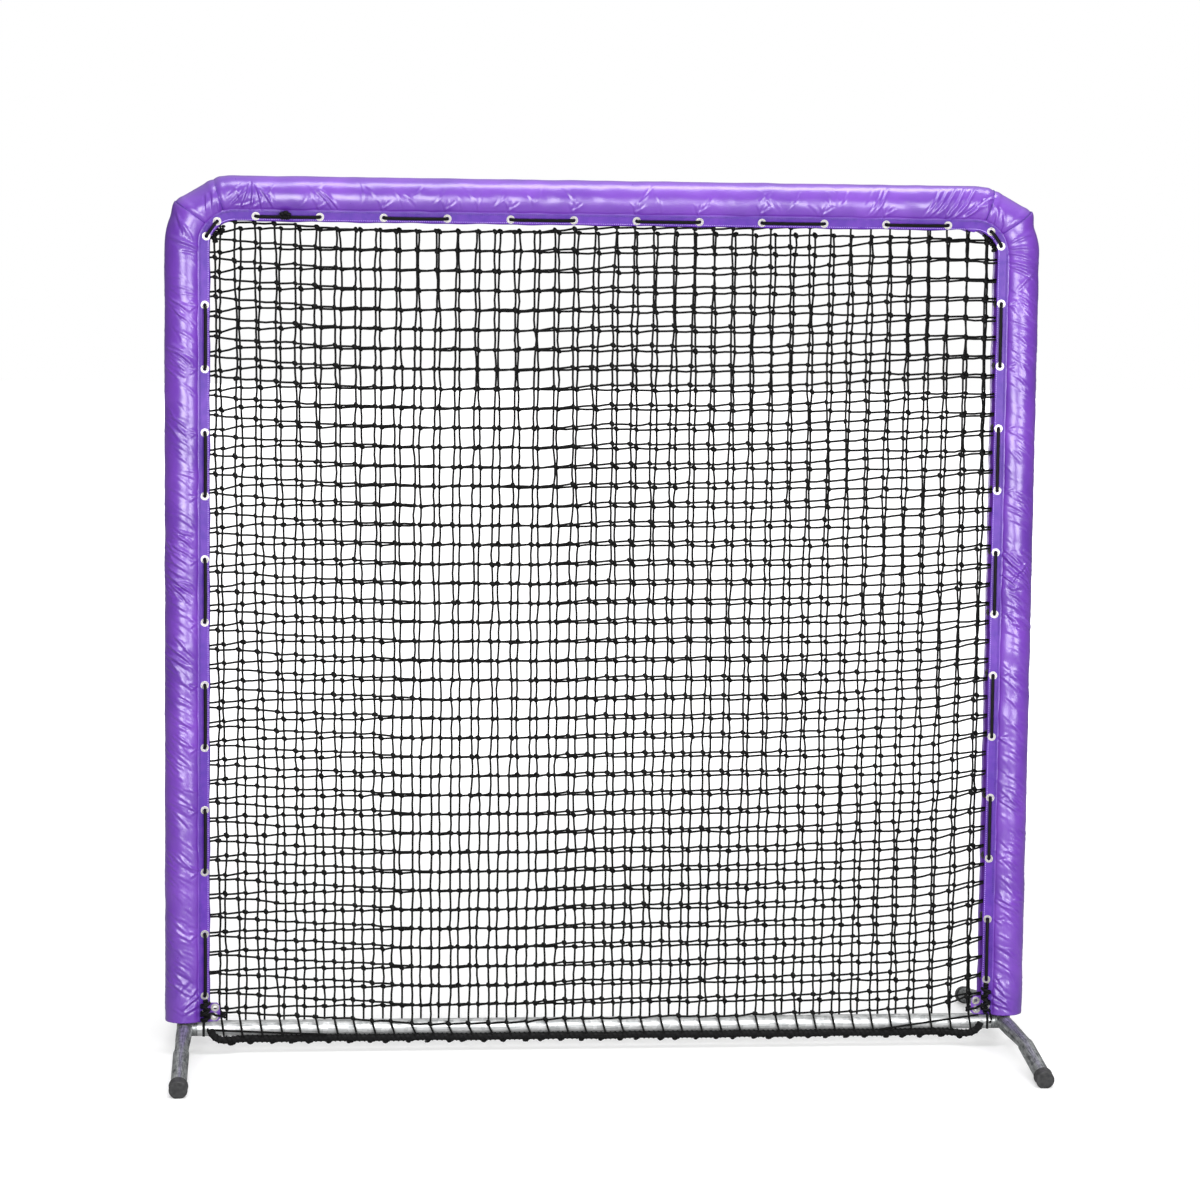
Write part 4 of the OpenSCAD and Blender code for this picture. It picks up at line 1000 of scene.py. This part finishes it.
def make_hem_rope():
    """Rope under the bottom rail, with the whipping that gathers the net to it and the tufts of
    net that hang out below."""
    inward, level = ROPE_ENDS[0], HALF_W - 0.2
    xs = np.concatenate([-HALF_W + inward, np.linspace(-level, level, 30), HALF_W - inward[::-1]])
    rng = np.random.default_rng(51)
    line = np.array([(x, *rope_middle(x)) for x in xs])
    ends = len(inward)
    line[ends:-ends, 2] += rng.normal(size=len(line) - 2 * ends) * 0.5 * MM
    path = rounded(line)
    cords("hem_rope_core", [path], ROPE_R - 0.4 * MM, ROPE, "hem_rope", "hem_rope", sides=12)

    length = np.concatenate([[0], np.cumsum(np.linalg.norm(np.diff(path, axis=0), axis=1))])
    steps = np.arange(4 * MM, length[-1] - 4 * MM, 2.2 * MM)
    middle = np.stack([np.interp(steps, length, path[:, i]) for i in range(3)], -1)
    ahead = unit_rows(np.gradient(middle, axis=0))
    side = unit_rows(np.cross(ahead, [0.0, 1.0, 0.0]))
    other = np.cross(ahead, side)
    wraps = []
    for shift in (0.0, math.pi):
        a = (steps / (23.8 * MM) * 2 * math.pi + shift)[:, None]
        wraps.append(middle + (ROPE_R - 0.2 * MM) * (np.cos(a) * side + np.sin(a) * other))
    cords("hem_whipping", wraps, 1.5 * MM, TWINE, "hem_rope", sides=5)

    xs = np.arange(-0.90, 0.93, ROW_PITCH)
    places = []
    for x in xs + rng.normal(size=len(xs)) * 4 * MM:
        y, z = rope_middle(x)
        places += [(x, y - 1 * MM, z - ROPE_R - 0.6 * MM), (x + 5 * MM, y + 3 * MM, z - ROPE_R + 1 * MM)]
    bits("hem_tufts", places, (1, 0, 0), rng.uniform(0.8, 1.2, len(places)),
         (14 * MM, 9 * MM, 8 * MM), TWINE, "hem_rope", uneven=5 * MM)


# ---------- lacing ----------
# A point of a lace is [along the run, u, v], as in the pads' section. on_post, on_top and on_turn
# give its place in the frame.

def lip_point(along, face, s, shift=0.0):
    """A point over a grommet, s out from the lip."""
    return along + shift, GROMMET_U + s * LEAN_U, face * (GROMMET_V + s * LEAN_V)


def station(along, front_after):
    """The cord through both lips' grommets at one place, entering on the side where it lay."""
    after = -1 if front_after else 1
    way = ((LACE_OUT, -7 * MM), (LACE_OUT - 1.6 * MM, -2 * MM), (LACE_OUT - DIVE_DEPTH, 0.0))
    return ([lip_point(along, -after, s, shift) for s, shift in way]
            + [lip_point(along, after, s, -shift) for s, shift in reversed(way)])


def on_post(p):
    return -HALF_W + p[1], p[2], p[0]


def on_top(p):
    return p[0], p[2], RAIL_TOP - p[1]


def on_turn(p, turn):
    b = turn - p[0] / (BEND_R - GROMMET_U)
    r = BEND_R - p[1]
    return -BEND_X + r * math.cos(b), p[2], BEND_Z + r * math.sin(b)


def side_lace_path(first):
    z0 = PAD_BOTTOM + first
    path = [on_post(lip_point(z0, 1, LACE_OUT, -20 * MM))]
    for i in range(GROMMETS_A_RUN):
        path += [on_post(p) for p in station(z0 + i * GROMMET_PITCH, i % 2 == 0)]
    path += [on_turn(p, SIDE_GROMMET_TURN) for p in station(0, True)]
    path += [on_turn(p, GUSSET_GROMMET_TURN) for p in station(0, False)]
    return np.array(path)


def top_lace_path():
    ends = [on_turn(lip_point(0, 1, LACE_OUT, 9.5 * MM), GUSSET_GROMMET_TURN),
            on_top(lip_point(-BEND_X, 1, LACE_OUT))]
    path = []
    for i in range(GROMMETS_A_RUN):
        path += [on_top(p) for p in station(TOP_FIRST + i * GROMMET_PITCH, i % 2 == 0)]
    return np.array(ends + path + [(-x, y, z) for x, y, z in reversed(ends)])


def winding_path(turns, wire_r, tail):
    """A cord that comes up a tail, bends into the first turn and runs straight off the last."""
    steps, lead_r, lead_steps = 24, 6 * MM, 5
    wind_r = COIL_CORE + wire_r
    pitch = 2 * wire_r + COIL_GAP
    rise = math.atan(pitch / (2 * math.pi * wind_r))
    turned = []
    for i in range(turns * steps + 1):
        a = -math.pi / 2 + 2 * math.pi * i / steps
        turned.append((wind_r * math.cos(a), wind_r * math.sin(a), pitch * i / steps))
    lead = []
    for k in range(lead_steps):
        b = (math.pi / 2 - rise) * k / lead_steps
        lead.append((lead_r * (math.sin(rise) - math.cos(b)), -wind_r,
                     lead_r * (math.sin(b) - math.cos(rise))))
    x, y, z = turned[-1]
    out = (x + 2 * wire_r * math.cos(rise), y, z + 2 * wire_r * math.sin(rise))
    down = (lead[0][0], -wind_r, min(-tail, lead[0][2] - 2 * wire_r))
    return np.array([down] + lead + turned + [out])


def lashing_foot(first, turns):
    """How far above the cover's foot a lashing starts, so that it ends below the first grommet."""
    return first - LASHING_BELOW - turns * LASHING_PITCH


def make_lacing():
    for name, (first, turns, flip) in SIDES.items():
        cords(name + "_lace_cord", [rounded(side_lace_path(first)) * flip], LACE_R, LACE,
              "lacing_cord", name + "_lace")
        foot = lashing_foot(first, turns)
        start = np.array(on_post(lip_point(PAD_BOTTOM + foot, -1, LASHING_OUT + 2 * LASHING_R)))
        coil = winding_path(turns, LASHING_R, foot + LASHING_TAIL)
        cords(name + "_lashing_cord", [(coil + start) * flip], LASHING_R, LACE, "lacing_cord",
              name + "_lashing")
    cords("top_lace_cord", [rounded(top_lace_path())], LACE_R, LACE, "lacing_cord", "top_lace")
    out = LACE_OUT + LACE_R + 2 * KNOT_R + 0.9 * MM
    place = np.array(on_top(lip_point(TOP_FIRST + 0.4 * GROMMET_PITCH, -1, out)))
    x, y, z = winding_path(3, KNOT_R, 0).T
    cords("start_knot_cord", [np.stack([z, y, -x], -1) + place], KNOT_R, LACE, "lacing_cord",
          "start_knot")
    make_knots(place)


def make_knots(start):
    """The hard knot on top of the starting turns, and the net's corners, which are tied in bunches
    to the short cords between the corner grommets."""
    lumps = start + np.array([(2, 3, 9), (9, 4, 5), (16, 2, 8), (10, 0, 12)]) * MM
    bits("start_knot_hitches", lumps, (1, 0, 0), 1.0, (15 * MM, 11 * MM, 10 * MM), LACE,
         "lacing_cord", segments=10, rings=7, uneven=5 * MM)
    rng = np.random.default_rng(61)
    turns = np.linspace(GUSSET_GROMMET_TURN - 0.1, SIDE_GROMMET_TURN + 0.1, 7)
    for name, (_, _, flip) in SIDES.items():
        places = [on_turn((0, (69 + rng.normal() * 3) * MM, (-17 + rng.normal() * 3) * MM), a)
                  for a in turns] * flip
        bits(name + "_corner_net_knots", places, (1, 0, 0), rng.uniform(0.7, 1.1, len(turns)),
             (14 * MM, 10 * MM, 12 * MM), TWINE, "net_twine", uneven=6 * MM)


def make_lashing_straps():
    """The lashings' crossing turns: cords that go over the coil from one side to the other, one
    that runs to the tab's grommets, and a knot on it."""
    tab_x = -HALF_W + 72 * MM
    for name, (first, turns, flip) in SIDES.items():
        coil_x, coil_y, _ = on_post(lip_point(0, -1, 9.85 * MM))
        low = PAD_BOTTOM + lashing_foot(first, turns)
        lines = []
        for height, slope in ((0.78, 5), (0.66, -6), (0.42, 7), (0.34, -4), (0.12, 3)):
            z = low + height * turns * LASHING_PITCH
            arc = [(coil_x + 10.2 * MM * math.sin(a), coil_y - 10.2 * MM * math.cos(a),
                    z + slope * MM * math.sin(a) + 1.2 * MM * math.cos(3 * a))
                   for a in np.radians(np.arange(-115, 116, 23))]
            lines.append(rounded(arc, 3))
        away = [(coil_x + 6 * MM, coil_y - 9 * MM, low + 18 * MM),
                (coil_x + 13 * MM, coil_y - 9 * MM, low + 20 * MM)]
        away += [(tab_x + x * MM, y * MM, PAD_BOTTOM + z * MM) for x, y, z in
                 ((-3, -36, 22), (3, -33, 17), (12, -34, 16), (22, -33, 13))]
        lines.append(rounded(away, 5))
        a = np.linspace(0, 11, 36)
        lines.append(away[-1] + np.stack([4.2 * np.cos(a), 3.36 * np.sin(a), 1.1 * a - 2], -1) * MM)
        cords(name + "_lashing_straps", [line * flip for line in lines], STRAP_R, LACE,
              "lacing_cord")


def make_tabs():
    """Loose vinyl tabs at the feet of the side pads, a little curled."""
    for name in SIDES:
        work = bmesh.new()
        work.from_mesh(bpy.data.objects[name + "_tab"].data)
        bmesh.ops.remove_doubles(work, verts=work.verts, dist=1e-5)
        bmesh.ops.subdivide_edges(work, edges=work.edges, cuts=1, use_grid_fill=True)
        lo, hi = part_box(name + "_tab")
        for vert in work.verts:
            f = abs(vert.co.x - (lo.x if name == "left" else hi.x)) / (hi.x - lo.x)
            g = (vert.co.z - lo.z) / (hi.z - lo.z)
            curl = 0.25 * math.sin(9 * g + 3 * f) - 1.1 * f * f * math.sin(2.6 * g)
            vert.co.y += curl * MM
        mesh = bpy.data.meshes.new(name + "_tab_vinyl")
        work.to_mesh(mesh)
        work.free()
        mesh.materials.clear()
        mesh.materials.append(VINYL)
        on_frame(new_object(name + "_tab_vinyl", mesh), "purple_vinyl", name + "_tab")


# ---------- carried-over pieces ----------

def finish_nodes():
    """Gives the CAD pieces that stay their real finishes."""
    finishes = {
        PAINTED_BRIGHT_RAIL_STEEL: ["top_rail", "bottom_rail"],
        POST_STEEL: ["left_post", "right_post", "left_elbow", "right_elbow"],
        PAINTED_DARK_FOOT_STEEL: ["left_base", "right_base", "left_front_foot", "left_rear_foot",
                     "right_front_foot", "right_rear_foot"],
        RUBBER: ["left_front_cap", "left_rear_cap", "right_front_cap", "right_rear_cap"],
        NICKEL: ["left_grommets", "top_grommets", "right_grommets", "tab_grommets"],
    }
    for finish, names in finishes.items():
        for name in names:
            obj = bpy.data.objects[name]
            for slot in obj.material_slots:
                slot.material = finish
            if not obj.material_slots:
                obj.data.materials.append(finish)


# ---------- studio ----------

CAMERA_PLACE = (-0.762, -7.930, 1.848)
CAMERA_LENS = 98.13
CAMERA_YAW, CAMERA_PITCH, CAMERA_ROLL = (math.radians(a) for a in (5.435, 5.280, 0.644))
FLOOR_GLOW = 0.27
FLOOR_REACH = 60.0


def make_camera():
    """The camera looks yaw to the right of +Y and pitch down, and is rolled a little."""
    data = bpy.data.cameras.new("camera")
    data.sensor_width = 36
    data.lens = CAMERA_LENS
    data.clip_end = 100
    camera = new_object("camera", data)
    level = math.cos(CAMERA_PITCH)
    forward = Vector((math.sin(CAMERA_YAW) * level, math.cos(CAMERA_YAW) * level,
                      -math.sin(CAMERA_PITCH)))
    right = Vector((math.cos(CAMERA_YAW), -math.sin(CAMERA_YAW), 0))
    up = right.cross(forward)
    across = math.cos(CAMERA_ROLL) * right + math.sin(CAMERA_ROLL) * up
    upright = -math.sin(CAMERA_ROLL) * right + math.cos(CAMERA_ROLL) * up
    turn = Matrix((across, upright, -forward)).transposed()
    camera.matrix_world = Matrix.Translation(CAMERA_PLACE) @ turn.to_4x4()
    bpy.context.scene.camera = camera


def softbox(name, place, target, size, power):
    data = bpy.data.lights.new(name, "AREA")
    data.shape = "RECTANGLE"
    data.size, data.size_y = size
    data.energy = power
    lamp = new_object(name, data)
    lamp.rotation_mode = "QUATERNION"
    lamp.rotation_quaternion = (Vector(target) - Vector(place)).to_track_quat("-Z", "Y")
    lamp.location = place
    lamp.visible_camera = False


def make_floor():
    """Pale paper that keeps the shadows. The camera sees it glow a little, more with distance;
    the object gets less light back from it."""
    material, tree = new_material("studio_floor_paper")
    seen = add(tree, "ShaderNodeLightPath").outputs["Is Camera Ray"]
    grain = add(tree, "ShaderNodeTexNoise", {"Scale": 60.0}).outputs["Fac"]
    paper = add(tree, "ShaderNodeMapRange", {"Value": grain, "To Min": 0.78, "To Max": 0.82})
    matt = add(tree, "ShaderNodeBsdfDiffuse", {"Color": paper.outputs["Result"]})
    place = add(tree, "ShaderNodeTexCoord").outputs["Object"]
    away = add(tree, "ShaderNodeVectorMath", {0: place}, operation="LENGTH").outputs["Value"]
    lift = add(tree, "ShaderNodeMapRange", {"Value": away, "From Min": 1.6, "From Max": 6.0,
                                            "To Min": FLOOR_GLOW, "To Max": 1.0},
               interpolation_type="SMOOTHSTEP")
    glow = add(tree, "ShaderNodeEmission",
               {"Color": (1, 1, 1, 1), "Strength": lift.outputs["Result"]})
    both = add(tree, "ShaderNodeAddShader", {0: matt.outputs["BSDF"], 1: glow.outputs["Emission"]})
    dim = add(tree, "ShaderNodeBsdfDiffuse", {"Color": linear("A8A8A8")})
    shown = add(tree, "ShaderNodeMixShader",
                {0: seen, 1: dim.outputs["BSDF"], 2: both.outputs["Shader"]})
    add(tree, "ShaderNodeOutputMaterial", {"Surface": shown.outputs["Shader"]})
    corners = [(x * FLOOR_REACH, y * FLOOR_REACH, 0) for x, y in ((-1, -1), (1, -1), (1, 1), (-1, 1))]
    mesh_object("floor", corners, [(0, 1, 2, 3)], [material])


def make_surround():
    """White to the camera; to the object, dim at the horizon and bright overhead."""
    world = bpy.data.worlds.new("studio")
    bpy.context.scene.world = world
    world.use_nodes = True
    tree = world.node_tree
    tree.nodes.clear()
    seen = add(tree, "ShaderNodeLightPath").outputs["Is Camera Ray"]
    way = add(tree, "ShaderNodeSeparateXYZ",
              {"Vector": add(tree, "ShaderNodeTexCoord").outputs["Generated"]})
    ceiling = add(tree, "ShaderNodeMapRange", {"Value": way.outputs["Z"], "From Min": 0.15,
                                               "From Max": 0.85, "To Min": 0.16, "To Max": 0.9},
                  interpolation_type="SMOOTHSTEP")
    level = add(tree, "ShaderNodeMapRange",
                {"Value": seen, "To Min": ceiling.outputs["Result"], "To Max": 1.0})
    sky = add(tree, "ShaderNodeBackground",
              {"Color": (1, 1, 1, 1), "Strength": level.outputs["Result"]})
    add(tree, "ShaderNodeOutputWorld", {"Surface": sky.outputs["Background"]})


def make_studio():
    """A floor, a white surround, and softboxes in front, to the right and overhead."""
    make_floor()
    make_surround()
    softbox("front_softbox", (-1.2, -4.6, 1.65), (-0.1, 0, 1.2), (2.6, 2.1), 170)
    softbox("side_softbox", (2.4, -4.4, 1.65), (0.1, 0, 1.2), (2.2, 2.1), 145)
    softbox("top_softbox", (0.3, -0.3, 4.6), (0.1, 0, 1.2), (3.6, 0.9), 80)
    bpy.context.scene.view_settings.view_transform = "Standard"


def main():
    make_camera()
    make_studio()
    finish_nodes()
    make_side_pads()
    make_top_pad()
    make_seam_lines()
    make_stitches()
    make_net()
    make_hem_rope()
    make_lacing()
    make_lashing_straps()
    make_tabs()


main()
